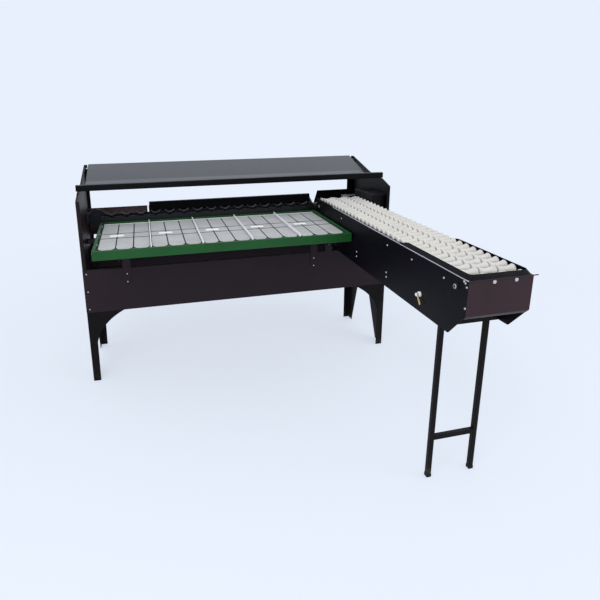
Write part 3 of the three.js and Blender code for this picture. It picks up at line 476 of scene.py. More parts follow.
@dataclass(frozen=True)
class MouldedPlastic(Finish):
    """Moulded plastic with a faint grain, handling marks and a little dirt."""

    colour: Colour
    roughness: float = 0.35
    grain: float = 0.00005
    sheen: float = 0.5

    def lay(self, bench: NodeBench) -> bpy.types.Material:
        """Lays the plastic's nodes.

        Args:
            bench: the material's bench.

        Returns:
            The material.
        """
        marks = bench.between(bench.noise(34.0, 5.0, 0.65), 0.42, 0.72)
        fine = bench.noise(650.0, 2.0)
        base = bench.mixed(marks * 0.6 + fine * 0.4, shaded(self.colour, 1.04), shaded(self.colour, 0.88))
        return bench.finish({
            "Base Color": base, "Roughness": self.roughness + marks * 0.15,
            "Specular IOR Level": self.sheen, "Normal": bench.bump(fine, self.grain, 0.6)})


@dataclass(frozen=True)
class BareMetal(Finish):
    """Bare metal with drawing lines along one direction and darker, handled patches."""

    colour: Colour
    roughness: float = 0.3
    lines: Axis = Axis.X
    bite: float = 0.00003

    def lay(self, bench: NodeBench) -> bpy.types.Material:
        """Lays the metal's nodes.

        Args:
            bench: the material's bench.

        Returns:
            The material.
        """
        stretch = [1.0, 1.0, 1.0]
        stretch[self.lines.value] = 0.03
        drawn = bench.noise(1400.0, 2.0, 0.5, tuple(stretch))
        handled = bench.between(bench.noise(26.0, 4.0, 0.6), 0.4, 0.72)
        tone = drawn * 0.5 + handled * 0.5
        base = bench.mixed(tone, shaded(self.colour, 1.1), shaded(self.colour, 0.72))
        return bench.finish({
            "Base Color": base, "Metallic": 1.0 - handled * 0.12,
            "Roughness": self.roughness + drawn * 0.12 + handled * 0.1,
            "Normal": bench.bump(drawn, self.bite, 0.6)})


@dataclass(frozen=True)
class LampGlass(Finish):
    """Frosted diffuser over a row of warm lamps, brighter over each lamp."""

    colour: Colour
    strength: float = 1.8
    pitch: float = 0.05

    def lay(self, bench: NodeBench) -> bpy.types.Material:
        """Lays the diffuser's nodes.

        Args:
            bench: the material's bench.

        Returns:
            The material.
        """
        lamps = bench.node("ShaderNodeTexWave", {"wave_type": "BANDS", "bands_direction": "Y"},
                           {"Vector": bench.place(), "Scale": math.tau / (20 * self.pitch)}, output=1)
        frost = bench.noise(300.0, 3.0)
        glow = bench.mixed(lamps * 0.7 + frost * 0.3, shaded(self.colour, 0.72), self.colour)
        return bench.finish({
            "Base Color": self.colour, "Roughness": 0.5 + frost * 0.1, "Emission Color": glow,
            "Emission Strength": self.strength, "Normal": bench.bump(frost, 0.0001, 0.5)})


BLACK_COAT = PowderCoat("black_powder_coat", paint(8, 7, 9), sheen=0.11)
# A lighter, browner copy of the black paint for the left end plate only: painted light.
LEFT_PLATE_LIT_COAT = PowderCoat("left_plate_painted_light_coat", paint(28, 19, 20), sheen=0.12)
RAIL_COAT = PowderCoat("rail_powder_coat", paint(6, 6, 8), roughness=0.3, dust=0.0, sheen=0.1)
LEG_COAT = PowderCoat("leg_powder_coat", paint(14, 10, 12), sheen=0.1, scuffed_feet=True)
BROWN_COAT = PowderCoat("brown_black_powder_coat", paint(32, 21, 27), roughness=0.4, sheen=0.18)
# A lighter copy of the brown paint for the rear panel, which sits in shade: painted light.
REAR_PANEL_LIT_COAT = PowderCoat("rear_panel_painted_light_coat", paint(88, 68, 73), roughness=0.42, sheen=0.2)
TROUGH_COAT = PowderCoat("trough_powder_coat", paint(6, 5, 12), roughness=0.38, sheen=0.09)
FRONT_PLATE_COAT = PowderCoat("front_plate_powder_coat", paint(47, 31, 36), roughness=0.4, sheen=0.18)
GREEN_COAT = PowderCoat("green_rail_enamel", paint(18, 74, 30), roughness=0.36, dust=0.02, sheen=0.25)
HOOD_ENAMEL = GlossEnamel("hood_enamel", paint(43, 43, 46))
# Pale lilac on a dark steel slot: a painted highlight along the trough's rim.
RIM_HIGHLIGHT_COAT = PowderCoat("rim_painted_highlight_coat", paint(178, 175, 190), roughness=0.3, sheen=0.5)
MACHINE_ENAMEL = PowderCoat("motor_enamel", paint(132, 137, 142), roughness=0.42)
MACHINE_GREY = PowderCoat("dark_machine_enamel", paint(62, 62, 68), roughness=0.42)
MAT_RUBBER = RubberMat("ribbed_mat_rubber", paint(178, 181, 184))
# The backing is the mats' grey material painted nearly black: painted shade in the gaps between the mats.
MAT_GAP_SHADE_BACKING = MouldedPlastic("mat_backing_painted_shade", paint(40, 42, 44), roughness=0.7)
ROLLER_PLASTIC = MouldedPlastic("roller_plastic", paint(206, 205, 202), roughness=0.34)
ROLLER_CORE = MouldedPlastic("roller_core_plastic", paint(52, 52, 54), roughness=0.5)
DIVIDER_PLASTIC = MouldedPlastic("divider_plastic", paint(238, 240, 244), roughness=0.32)
PLATE_PLASTIC = MouldedPlastic("bare_label_plastic", paint(248, 248, 250), roughness=0.38, grain=0.00002)
BLACK_PLASTIC = MouldedPlastic("black_moulding", paint(15, 15, 17), roughness=0.56, grain=0.00012,
                               sheen=0.2)
BEARING_COAT = PowderCoat("bearing_housing_coat", paint(22, 21, 26), roughness=0.36, sheen=0.2)
STEEL = BareMetal("brushed_steel_rod", (0.60, 0.61, 0.62, 1.0))
BLUED_STEEL = BareMetal("blued_steel", (0.035, 0.035, 0.04, 1.0), roughness=0.34, lines=Axis.Z)
ZINC = BareMetal("zinc_screw", (0.66, 0.66, 0.64, 1.0), roughness=0.36)
CHAIN_STEEL = BareMetal("oiled_chain_steel", (0.16, 0.155, 0.15, 1.0), roughness=0.36)
BRASS = BareMetal("polished_brass", (0.74, 0.54, 0.23, 1.0), roughness=0.24)
DIFFUSER = LampGlass("lamp_diffuser", (1.0, 0.80, 0.52, 1.0))


# Pieces


class Piece:
    """A mesh under construction; its object stays at the origin, with its place in the mesh."""

    def __init__(self, obj: bpy.types.Object) -> None:
        """Keeps the object."""
        self.obj = obj

    @classmethod
    def _adopt(cls, name: str) -> "Piece":
        """Takes the newest primitive as a piece, with its place moved into its mesh.

        Args:
            name: the piece's name.

        Returns:
            The piece.
        """
        obj = bpy.context.active_object
        obj.name = obj.data.name = name
        bpy.ops.object.transform_apply(location=True, rotation=True, scale=True)
        return cls(obj)

    @classmethod
    def block(cls, name: str, x: Span, y: Span, z: Span) -> "Piece":
        """A cuboid.

        Args:
            name: the piece's name.
            x: its span across the machine.
            y: its span from front to back.
            z: its span in height.

        Returns:
            The piece.
        """
        bare_bench()
        low, high = (at(x[i], y[i], z[i]) for i in (0, 1))
        bpy.ops.mesh.primitive_cube_add(size=1, location=(low + high) / 2, scale=high - low)
        return cls._adopt(name)

    @classmethod
    def _line(cls, name: str, places: Sequence[Vector]) -> "Piece":
        """An open line.

        Args:
            name: the piece's name.
            places: its corners in metres.

        Returns:
            The piece.
        """
        bare_bench()
        bpy.ops.mesh.primitive_plane_add(size=MM, location=places[0])
        piece = cls._adopt(name)
        with piece.editing():
            piece.pick_all()
            bpy.ops.mesh.merge(type="CENTER")
            for before, after in zip(places, places[1:]):
                bpy.ops.mesh.extrude_region_move(TRANSFORM_OT_translate={"value": after - before})
        return piece

    @classmethod
    def traced(cls, name: str, points: Sequence[Place], closed: bool = True) -> "Piece":
        """A face, or an open line, drawn from point to point.

        Args:
            name: the piece's name.
            points: its corners as x, y, z.
            closed: whether the corners bound a face.

        Returns:
            The piece.
        """
        piece = cls._line(name, [at(*point) for point in points])
        if closed:
            with piece.editing():
                piece.pick_all()
                bpy.ops.mesh.edge_face_add()
        return piece

    @classmethod
    def prism(cls, name: str, axis: Axis, outline: Sequence[Place], span: Span) -> "Piece":
        """An outline across an axis, extruded along it.

        Args:
            name: the piece's name.
            axis: the axis.
            outline: corners by their two places across the axis, in x, y, z order.
            span: where it starts and ends along the axis.

        Returns:
            The piece, closed.
        """
        v = axis.value
        piece = cls.traced(name, [(*point[:v], span[0], *point[v:]) for point in outline])
        with piece.editing():
            piece.pick_all()
            piece.draw(axis.unit * (span[1] - span[0]))
            piece.outward()
        return piece

    @classmethod
    def turned(cls, name: str, axis: Axis, centre: Place, profile: Sequence[tuple[float, float]],
               steps: int = 24) -> "Piece":
        """A profile turned about an axis.

        Args:
            name: the piece's name.
            axis: the axis.
            centre: its two places across the axis.
            profile: radius and place along the axis of each corner, from end to end.
            steps: the number of sides.

        Returns:
            The piece.
        """
        piece = cls._line(name, [axis.off_centre(centre, radius, along) for radius, along in profile])
        with piece.editing():
            piece.pick_all()
            bpy.ops.mesh.spin(steps=steps, angle=math.tau, center=axis.point(centre, 0.0), axis=axis.unit)
            piece.weld()
            piece.outward()
        return piece

    @classmethod
    def bar(cls, name: str, axis: Axis, centre: Place, span: Span, radius: float,
            chamfer: Span = (0.8, 0.8), steps: int = 20) -> "Piece":
        """A round bar with chamfered ends.

        Args:
            name: the piece's name.
            axis: its axis.
            centre: its two places across the axis.
            span: where it starts and ends along the axis.
            radius: its radius.
            chamfer: the width of the chamfer across the axis and along it.
            steps: the number of sides.

        Returns:
            The piece.
        """
        (start, end), (across, along) = span, chamfer
        return cls.turned(name, axis, centre, (
            (0, start), (radius - across, start), (radius, start + along), (radius, end - along),
            (radius - across, end), (0, end)), steps)

    def _alone(self) -> None:
        """Selects this piece alone, out of edit mode."""
        bare_bench()
        self.obj.select_set(True)
        bpy.context.view_layer.objects.active = self.obj

    @contextmanager
    def editing(self) -> Iterator[None]:
        """Edit mode on this piece alone."""
        self._alone()
        bpy.ops.object.mode_set(mode="EDIT")
        bpy.ops.mesh.select_mode(type="VERT")
        yield
        bpy.ops.object.mode_set(mode="OBJECT")

    @staticmethod
    def pick_all() -> None:
        """Selects everything, in edit mode."""
        bpy.ops.mesh.select_all(action="SELECT")

    def pick(self, kind: Kind, test: Test) -> None:
        """Selects, in edit mode, what passes a test.

        Args:
            kind: corners, edges or faces.
            test: takes the middle in millimetres, and the normal or the edge's direction.
        """
        bpy.ops.mesh.select_mode(type=kind.value)
        bpy.ops.mesh.select_all(action="DESELECT")
        cage = bmesh.from_edit_mesh(self.obj.data)
        cage.normal_update()
        found = 0
        for item in {"VERT": cage.verts, "EDGE": cage.edges, "FACE": cage.faces}[kind.value]:
            if kind is Kind.VERT:
                middle, way = item.co, item.normal
            elif kind is Kind.EDGE:
                first, second = item.verts[0].co, item.verts[1].co
                middle, way = (first + second) / 2, (second - first).normalized()
            else:
                middle, way = item.calc_center_median(), item.normal
            if test((middle - at(0, 0, 0)) / MM, way):
                item.select_set(True)
                found += 1
        if not found:
            raise ValueError(f"{self.obj.name}: the pick found no {kind.value.lower()}")
        cage.select_flush_mode()
        bmesh.update_edit_mesh(self.obj.data)

    def draw(self, step: Place) -> None:
        """Extrudes what is selected by a step in millimetres."""
        bpy.ops.mesh.extrude_region_move(TRANSFORM_OT_translate={"value": Vector(step) * MM})

    def push(self, step: Place) -> None:
        """Moves what is selected by a step in millimetres."""
        bpy.ops.transform.translate(value=Vector(step) * MM)

    def inset(self, width: float, depth: float = 0.0, each: bool = False) -> None:
        """Insets the selected faces, together or each, by a width, and lowers them by a depth."""
        bpy.ops.mesh.inset(thickness=width * MM, depth=-depth * MM, use_individual=each)

    def bevel(self, test: Test, width: float, segments: int = 3, kind: Kind = Kind.EDGE) -> None:
        """Rounds, in edit mode, what passes a test.

        Args:
            test: as for a pick.
            width: the width of the rounding.
            segments: its number of steps.
            kind: edges, or the corners of a flat face.
        """
        self.pick(kind, test)
        affected = "EDGES" if kind is Kind.EDGE else "VERTICES"
        bpy.ops.mesh.bevel(offset=width * MM, segments=segments, affect=affected)

    def weld(self) -> None:
        """Merges corners that lie on each other."""
        self.pick_all()
        bpy.ops.mesh.remove_doubles(threshold=0.02 * MM)

    def outward(self) -> None:
        """Turns all faces outward."""
        self.pick_all()
        bpy.ops.mesh.normals_make_consistent(inside=False)

    def _apply(self, kind: str, **settings: Any) -> None:
        """Adds a modifier and applies it.

        Args:
            kind: the modifier's type.
            settings: its settings by name.
        """
        self._alone()
        modifier = self.obj.modifiers.new(kind.lower(), kind)
        for name, value in settings.items():
            setattr(modifier, name, value)
        bpy.ops.object.modifier_apply(modifier=modifier.name)

    def folded(self, way: Place, thickness: float, edge: float = 0.4, segments: int = 1) -> "Piece":
        """Makes folded sheet of an open shape.

        Args:
            way: where its largest face looks.
            thickness: the thickness of the sheet, behind its face.
            edge: the width of the broken edges.
            segments: the number of steps of a broken edge.

        Returns:
            The same piece.
        """
        with self.editing():
            self.outward()
        largest = max(self.obj.data.polygons, key=lambda face: face.area)
        if largest.normal.dot(Vector(way)) < 0:
            with self.editing():
                self.pick_all()
                bpy.ops.mesh.flip_normals()
        self._apply("SOLIDIFY", thickness=thickness * MM, offset=-1.0, use_even_offset=True)
        return self.softened(edge, segments, SHEET_EDGE_ANGLE)

    def softened(self, width: float = 0.5, segments: int = 2, angle: float = 40.0) -> "Piece":
        """Rounds all edges sharper than an angle and shades them smoothly.

        Args:
            width: the width of the rounding.
            segments: its number of steps.
            angle: the smallest angle of an edge that is rounded, in degrees.

        Returns:
            The same piece.
        """
        self._apply("BEVEL", width=width * MM, segments=segments, limit_method="ANGLE",
                    angle_limit=math.radians(angle), use_clamp_overlap=True)
        return self.smooth(50.0)

    def smooth(self, angle: float = 40.0) -> "Piece":
        """Shades smoothly, and keeps flat faces flat.

        Args:
            angle: the largest angle of an edge that is shaded across, in degrees.

        Returns:
            The same piece.
        """
        self._alone()
        bpy.ops.object.shade_smooth_by_angle(angle=math.radians(angle))
        self._apply("WEIGHTED_NORMAL", keep_sharp=True, weight=60)
        return self

    def copied(self, name: str, move: Matrix) -> "Piece":
        """A copy with its own mesh, moved.

        Args:
            name: the copy's name.
            move: where its mesh goes.

        Returns:
            The copy.
        """
        twin = self.obj.copy()
        twin.data = self.obj.data.copy()
        twin.data.transform(move)
        twin.name = twin.data.name = name
        bpy.context.scene.collection.objects.link(twin)
        return Piece(twin)

    def shifted(self, name: str, step: Place) -> "Piece":
        """A copy a step in millimetres away."""
        return self.copied(name, Matrix.Translation(Vector(step) * MM))

    def spread(self, steps: Sequence[Place]) -> list["Piece"]:
        """Copies of this pattern, which is itself taken away.

        Args:
            steps: how far away each copy is, in millimetres.

        Returns:
            The copies.
        """
        copies = [self.shifted(f"{self.obj.name}_{i}", step) for i, step in enumerate(steps)]
        self.removed()
        return copies

    @staticmethod
    def joined(name: str, pieces: Sequence["Piece"]) -> "Piece":
        """Several pieces as one object.

        Args:
            name: the name of the whole.
            pieces: the pieces, of which none is left.

        Returns:
            The whole.
        """
        bare_bench()
        for piece in pieces:
            piece.obj.select_set(True)
        whole = pieces[0].obj
        bpy.context.view_layer.objects.active = whole
        if len(pieces) > 1:
            bpy.ops.object.join()
        whole.name = whole.data.name = name
        return Piece(whole)

    def fitted(self, finish: Finish, slot: Slot, *nodes: str, body: str = "machine_body") -> "Piece":
        """Gives the finished piece its surface and fits it to the machine.

        Args:
            finish: its surface.
            slot: the record's slot of the finish; not used.
            nodes: the plain solids that it stands for.
            body: the body that it moves with.

        Returns:
            The same piece.
        """
        self.obj.data.materials.clear()
        self.obj.data.materials.append(finish.material())
        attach(self.obj, body)
        if nodes:
            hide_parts(*nodes)
        log.info("fitted %s on %s: %d faces", self.obj.name, body, len(self.obj.data.polygons))
        return self

    def removed(self) -> None:
        """Takes away a pattern piece that was only copied."""
        bpy.data.objects.remove(self.obj)


def carried(place: Place, turn: Matrix | None = None) -> Matrix:
    """The move of a pattern from the left front corner of the floor.

    Args:
        place: where that corner goes, in millimetres.
        turn: a turn about it.

    Returns:
        The matrix.
    """
    turned = turn or Matrix.Identity(4)
    return Matrix.Translation(at(*place)) @ turned @ Matrix.Translation(-at(0, 0, 0))


# Fasteners


class Head(Enum):
    """The heads of the fasteners."""

    SCREW = "screw"
    BOLT = "bolt"
    LOW_BOLT = "low_bolt"


@dataclass
class Fasteners:
    """Screw heads and bolts, modelled once each and copied."""

    screw_radius: float = 3.8
    screw_height: float = 2.3
    bolt_radius: float = 4.6
    bolt_height: float = 3.8
    washer_radius: float = 6.4
    washer_height: float = 1.4
    low_height: float = 1.2
    low_washer: float = 0.6

    def __post_init__(self) -> None:
        """Models the three heads, standing on the floor at the left front corner."""
        r, h = self.screw_radius, self.screw_height
        screw = Piece.turned("pattern_screw", Axis.Z, (0, 0), (
            (0, h * 0.45), (r * 0.42, h * 0.45), (r * 0.5, h), (r * 0.78, h * 0.86), (r, h * 0.3), (r, 0),
            (0, 0)), steps=12).smooth(35)
        self.heads = {
            Head.SCREW: screw,
            Head.BOLT: self._bolt("pattern_bolt", self.bolt_height, self.washer_height),
            Head.LOW_BOLT: self._bolt("pattern_low_bolt", self.low_height, self.low_washer),
        }

    def _bolt(self, name: str, height: float, washer_height: float) -> Piece:
        """Models one hexagon head on its washer.

        Args:
            name: the pattern's name.
            height: the height of the head.
            washer_height: the thickness of the washer.

        Returns:
            The pattern.
        """
        b, w, t = self.bolt_radius, self.washer_radius, washer_height
        top = t + height
        head = Piece.turned("pattern_head", Axis.Z, (0, 0), (
            (0, top), (b * 0.8, top), (b, top - height * 0.25), (b, t - 0.2), (0, t - 0.2)), steps=6)
        edge = min(0.4, t / 2)
        washer = Piece.turned("pattern_washer", Axis.Z, (0, 0), (
            (0, t), (w - edge, t), (w, t - edge), (w, 0), (0, 0)), steps=18).smooth()
        return Piece.joined(name, [head.smooth(30), washer])

    def row(self, name: str, head: Head, places: Sequence[Place], way: Place) -> None:
        """Copies a head to several places on the body.

        Args:
            name: the row's name.
            head: the head to copy.
            places: the middle of each head's seat.
            way: the direction that they point.
        """
        turn = Vector(way).to_track_quat("Z", "Y").to_matrix().to_4x4()
        pattern = self.heads[head]
        heads = [pattern.copied(f"{name}_{i}", carried(place, turn)) for i, place in enumerate(places)]
        Piece.joined(name, heads).fitted(ZINC, Slot.BRUSHED_STEEL)

    def clear(self) -> None:
        """Takes the pattern heads away."""
        for head in self.heads.values():
            head.removed()


@dataclass
class SubAssembly:
    """A part of the machine that is built in one go."""

    fasteners: Fasteners

    def build(self) -> None:
        """Builds it; each kind has its own way."""
        raise NotImplementedError


# The body


@dataclass
class EndPlate(SubAssembly):
    """A folded sheet plate with a raised cheek at the back."""

    side: Side
    outline: tuple[Span, ...] = (
        (0, 460), (0, 930), (95, 960), (190, 960), (500, 1042), (500, 640), (409, 560), (409, 460))
    flanges: tuple[float, ...] = (18, 10, 10, 10, 18, 18, 18)
    sheet: float = 2.0
    fold: float = 2.6
    rod: Span = HOOD_PIVOT
    ring: tuple[Span, ...] = ((4.3, 0), (9, 0), (9, 0.9), (8, 1.6), (4.3, 1.6), (4.3, 0))
    leg_bolts: tuple[Span, ...] = ((18, 467.5), (140, 467.5), (386, 467.5))
    beam_screws: tuple[Span, ...] = ((322, 653), (489, 660), (489, 780))

    def build(self) -> None:
        """Builds the plate, the ring round its rod and its bolts."""
        x, name = self.side.x(0), f"end_plate_{self.side.value}"
        plate = Piece.traced(f"{name}_sheet", [(x, y, z) for y, z in self.outline])
        with plate.editing():
            for start, end, width in zip(self.outline, self.outline[1:], self.flanges):
                middle = ((start[0] + end[0]) / 2, (start[1] + end[1]) / 2)
                plate.pick(Kind.EDGE, lambda m, _, c=middle: near(m.x, x)
                           and near(m.y, c[0]) and near(m.z, c[1]))
                plate.draw((self.side.inward * width, 0, 0))
            plate.weld()
            plate.bevel(lambda m, _: near(m.x, x) and not near(m.z, self.outline[0][1]), self.fold, 3)
        plate.folded((-self.side.inward, 0, 0), self.sheet)
        # The left plate gets the lit copy of the black paint, painted light; the right keeps the plain
        # black.
        coat = LEFT_PLATE_LIT_COAT if self.side is Side.LEFT else BLACK_COAT
        plate.fitted(coat, Slot.BLACK_PAINT, name)
        out = -self.side.inward
        profile = [(radius, x + out * step) for radius, step in self.ring]
        ring = Piece.turned(f"{name}_rod_ring", Axis.X, self.rod, profile)
        ring.smooth().fitted(ZINC, Slot.BRUSHED_STEEL)
        for row, places in (("leg_bolts", self.leg_bolts), ("beam_screws", self.beam_screws)):
            heads = [(x, y, z) for y, z in places]
            self.fasteners.row(f"{name}_{row}", Head.SCREW, heads, (out, 0, 0))


@dataclass
class FrontRail(SubAssembly):
    """A square tube across the tops of the end plates, open at its ends."""

    x: Span = (-5, 1605)
    y: Span = (104, 132)
    z: Span = (960.3, 989.8)
    corner: float = 4.0
    wall: float = 2.0
    recess: float = 30.0
    screw_inset: float = 9.0
    screw_sink: float = 0.2

    def build(self) -> None:
        """Builds the tube and the screws that hold it."""
        rail = Piece.block("front_rail_tube", self.x, self.y, self.z)
        with rail.editing():
            rail.bevel(runs_along(Axis.X), self.corner, 4)
            for end, sign in zip(self.x, (1, -1)):
                rail.pick(Kind.FACE, lambda m, way, e=end: near(m.x, e) and abs(way.x) > STRAIGHT)
                rail.inset(self.wall)
                rail.draw((sign * self.recess, 0, 0))
        rail.smooth(35).fitted(RAIL_COAT, Slot.BLACK_PAINT, "front_rail")
        middle = (self.y[0] + self.y[1]) / 2
        places = [(x, middle, self.z[1] - self.screw_sink)
                  for x in (self.screw_inset, BODY_LENGTH - self.screw_inset)]
        self.fasteners.row("front_rail_screws", Head.SCREW, places, (0, 0, 1))


@dataclass
class Hood(SubAssembly):
    """A bent sheet with folded lips and skirts, on three lugs that turn on a rod."""

    x: Span = (22, 1578)
    line: tuple[Span, ...] = ((260, 966), (315, 977), (520, 1043))
    lip: float = 6.0
    skirt: float = 8.0
    sheet: float = 1.5
    fold: float = 2.2
    rod: Span = HOOD_PIVOT
    rod_radius: float = 4.0
    rod_reach: float = 2.0
    lug_radius: float = 9.0
    lug_width: float = 5.0
    lug_count: int = 3
    edge: float = 0.35

    def build(self) -> None:
        """Builds the sheet, the lugs and the rod."""
        (y0, z0), (_, _), (y1, z1) = self.line
        profile = [(y0, z0 - self.lip), *self.line, (y1, z1 - self.lip)]
        hood = Piece.traced("hood_sheet", [(self.x[0], y, z) for y, z in profile], closed=False)
        with hood.editing():
            hood.pick_all()
            hood.draw((self.x[1] - self.x[0], 0, 0))
            for x in self.x:
                hood.pick(Kind.EDGE, lambda m, way, e=x: near(m.x, e) and abs(way.y) > 0.5)
                hood.draw((0, 0, -self.skirt))
            hood.weld()
            hood.bevel(lambda m, way: abs(way.x) > STRAIGHT and m.z > z0 - 1
                       and not near(m.z, z1 - self.lip), self.fold, 3)
        hood.folded((0, 0, 1), self.sheet, self.edge)
        hood.fitted(HOOD_ENAMEL, Slot.HOOD_PAINT, "hood", body="hood")
        self._lugs()
        reach, r = self.rod_reach, self.rod_radius
        span = (-reach, BODY_LENGTH + reach)
        rod = Piece.bar("hood_pivot_rod_bar", Axis.X, self.rod, span, r, (0.8, reach))
        rod.smooth().fitted(STEEL, Slot.BRUSHED_STEEL, "hood_pivot_rod")

    def _lugs(self) -> None:
        """Builds the lugs under the sheet."""
        (ya, za), (yb, zb) = self.line[1:]
        slope = (zb - za) / (yb - ya)
        y, z, r = *self.rod, self.lug_radius
        arc = [(y + r * math.cos(a), z + r * math.sin(a)) for a in
               (math.pi + math.pi * i / 10 for i in range(11))]
        tops = [(side, za + slope * (side - ya) - self.sheet / 2) for side in (y + r, y - r)]
        pattern = Piece.prism("lug", Axis.X, [*arc, *tops], (0, self.lug_width)).softened(0.7, 2)
        pitch = (self.x[1] - self.x[0]) / self.lug_count
        lugs = pattern.spread([(self.x[0] + pitch * (i + 0.5) - self.lug_width / 2, 0, 0)
                               for i in range(self.lug_count)])
        Piece.joined("hood_lugs", lugs).fitted(BLACK_COAT, Slot.HOOD_PAINT, "hood", body="hood")


@dataclass
class FrontPanel(SubAssembly):
    """The long panel under the table, with a folded top and two ears for the trough."""

    z: Span = (375, 593)
    y: float = -2.3
    ears: tuple[Span, ...] = ((1235.7, 1273.7), (1512.3, 1550.3))
    ear_top: float = 680.0
    hem: float = 16.0
    hem_inset: float = 18.3
    sheet: float = 2.0
    fold: float = 2.6
    screw_heights: tuple[float, ...] = (575, 484, 393)
    screw_inset: float = 16.5
    ear_corner: float = 7.0
    ear_screws: Span = (632, 662)

    def build(self) -> None:
        """Builds the panel and its screws."""
        low, high = self.z
        outline: list[Span] = [(0, low), (BODY_LENGTH, low), (BODY_LENGTH, high)]
        outline.append((BODY_LENGTH - self.hem_inset, high))
        for left, right in reversed(self.ears):
            outline += [(right, high), (right, self.ear_top), (left, self.ear_top), (left, high)]
        outline += [(self.hem_inset, high), (0, high)]
        panel = Piece.traced("front_panel_sheet", [(x, self.y, z) for x, z in outline])
        with panel.editing():
            def folded(m: Vector, way: Vector) -> bool:
                """Whether an edge of the top carries the fold."""
                return near(m.z, high) and abs(way.x) > STRAIGHT and near(m.y, self.y) \
                    and self.hem_inset < m.x < BODY_LENGTH - self.hem_inset
            panel.pick(Kind.EDGE, folded)
            panel.draw((0, self.hem, 0))
            panel.bevel(folded, self.fold, 3)
            panel.bevel(lambda m, _: near(m.z, self.ear_top), self.ear_corner, 4, Kind.VERT)
        panel.folded((0, -1, 0), self.sheet)
        panel.fitted(BROWN_COAT, Slot.BROWN_PAINT, "front_panel")
        places = [(x, self.y, z) for x in (self.screw_inset, BODY_LENGTH - self.screw_inset)
                  for z in self.screw_heights]
        self.fasteners.row("front_panel_screws", Head.SCREW, places, (0, -1, 0))
        ear = [((left + right) / 2, self.y, z) for left, right in self.ears for z in self.ear_screws]
        self.fasteners.row("front_panel_ear_screws", Head.SCREW, ear, (0, -1, 0))


@dataclass
class RearPanels(SubAssembly):
    """The two rear panels, the folded cover in front of them and the beam between the rear legs."""

    face: float = 497.7
    sheet: float = 2.0
    panel: tuple[Span, ...] = (
        (2.3, 645), (1336, 645), (1336, 752), (1312, 798), (333, 798), (333, 748), (325, 748), (325, 798),
        (2.3, 798))
    end_panel: tuple[Span, ...] = (
        (1338, 645), (1597.7, 645), (1597.7, 930), (1560, 930), (1560, 834), (1362, 834), (1338, 752))
    top_fold: float = 9.0
    cover: tuple[Span, ...] = ((464.4, 764), (473.4, 764), (473.4, 820), (495.4, 820), (495.4, 776))
    cover_x: Span = (336, 1304)
    beam_y: float = 406.7
    beam_z: Span = (375, 605)
    beam_x: Span = (2.3, 1597.7)
    beam_fold: float = 12.0
    beam_fold_inset: float = 20.0
    fold_end: float = 300.0
    fold: float = 2.4
    cover_fold: float = 2.2
    panel_screw_inset: float = 12.0
    panel_screws: tuple[float, ...] = (664, 720, 784)
    beam_bolt_inset: float = 28.0
    beam_bolts: tuple[float, ...] = (395, 440, 585)

    def build(self) -> None:
        """Builds the panels, the cover and the beam."""
        self._panel("rear_panel", self.panel, REAR_PANEL_LIT_COAT, Slot.BROWN_PAINT)
        self._panel("rear_end_panel", self.end_panel, BLACK_COAT, Slot.BLACK_PAINT)
        self._cover()
        self._beam()
        places = [(x, self.face, z)
                  for x in self._ends(self.panel_screw_inset) for z in self.panel_screws]
        self.fasteners.row("rear_panel_screws", Head.SCREW, places, (0, 1, 0))
        beam = [(x, self.beam_y, z) for x in self._ends(self.beam_bolt_inset) for z in self.beam_bolts]
        self.fasteners.row("rear_beam_screws", Head.BOLT, beam, (0, 1, 0))

    @staticmethod
    def _ends(inset: float) -> Span:
        """The places an inset away from both ends of the body."""
        return (inset, BODY_LENGTH - inset)

    def _panel(self, name: str, outline: Sequence[Span], finish: Finish, slot: Slot) -> None:
        """Builds one flat panel with a fold along its top beside the cover.

        Args:
            name: the name of the solid that it stands for.
            outline: its corners as x and z.
            finish: its paint.
            slot: the slot of the paint.
        """
        panel = Piece.traced(f"{name}_sheet", [(x, self.face, z) for x, z in outline])
        top = max(z for _, z in outline)
        with panel.editing():
            def carries_fold(m: Vector, way: Vector) -> bool:
                """Whether an edge of the top, beside the cover, carries the fold."""
                beside = m.x < self.fold_end or m.x > self.cover_x[1]
                return beside and near(m.z, top) and near(m.y, self.face) and abs(way.x) > STRAIGHT
            panel.pick(Kind.EDGE, carries_fold)
            panel.draw((0, -self.top_fold, 0))
            panel.bevel(carries_fold, self.fold, 3)
        panel.folded((0, 1, 0), self.sheet)
        panel.fitted(finish, slot, name)

    def _cover(self) -> None:
        """Builds the folded cover."""
        corners = [(self.cover_x[0], y, z) for y, z in self.cover]
        cover = Piece.traced("rear_cover_sheet", corners, closed=False)
        with cover.editing():
            cover.pick_all()
            cover.draw((self.cover_x[1] - self.cover_x[0], 0, 0))
            inner = self.cover[1:4]
            cover.bevel(lambda m, way: abs(way.x) > STRAIGHT
                        and any(near(m.y, y) and near(m.z, z) for y, z in inner), self.cover_fold, 3)
        cover.folded((0, -1, 0), self.sheet)
        cover.fitted(BLACK_COAT, Slot.BLACK_PAINT, "rear_cover")

    def _beam(self) -> None:
        """Builds the cross beam with its folded top."""
        x, (low, high), inset = self.beam_x, self.beam_z, self.beam_fold_inset
        outline = [(x[0], low), (x[1], low), (x[1], high), (x[1] - inset, high), (x[0] + inset, high),
                   (x[0], high)]
        beam = Piece.traced("rear_beam_sheet", [(px, self.beam_y, pz) for px, pz in outline])
        with beam.editing():
            def fold(m: Vector, way: Vector) -> bool:
                """Whether an edge carries the top fold."""
                central = near(m.x, BODY_LENGTH / 2) and near(m.y, self.beam_y)
                return central and near(m.z, high) and abs(way.x) > STRAIGHT
            beam.pick(Kind.EDGE, fold)
            beam.draw((0, -self.beam_fold, 0))
            beam.bevel(fold, self.fold, 3)
        beam.folded((0, 1, 0), self.sheet)
        beam.fitted(BROWN_COAT, Slot.BROWN_PAINT, "rear_beam")


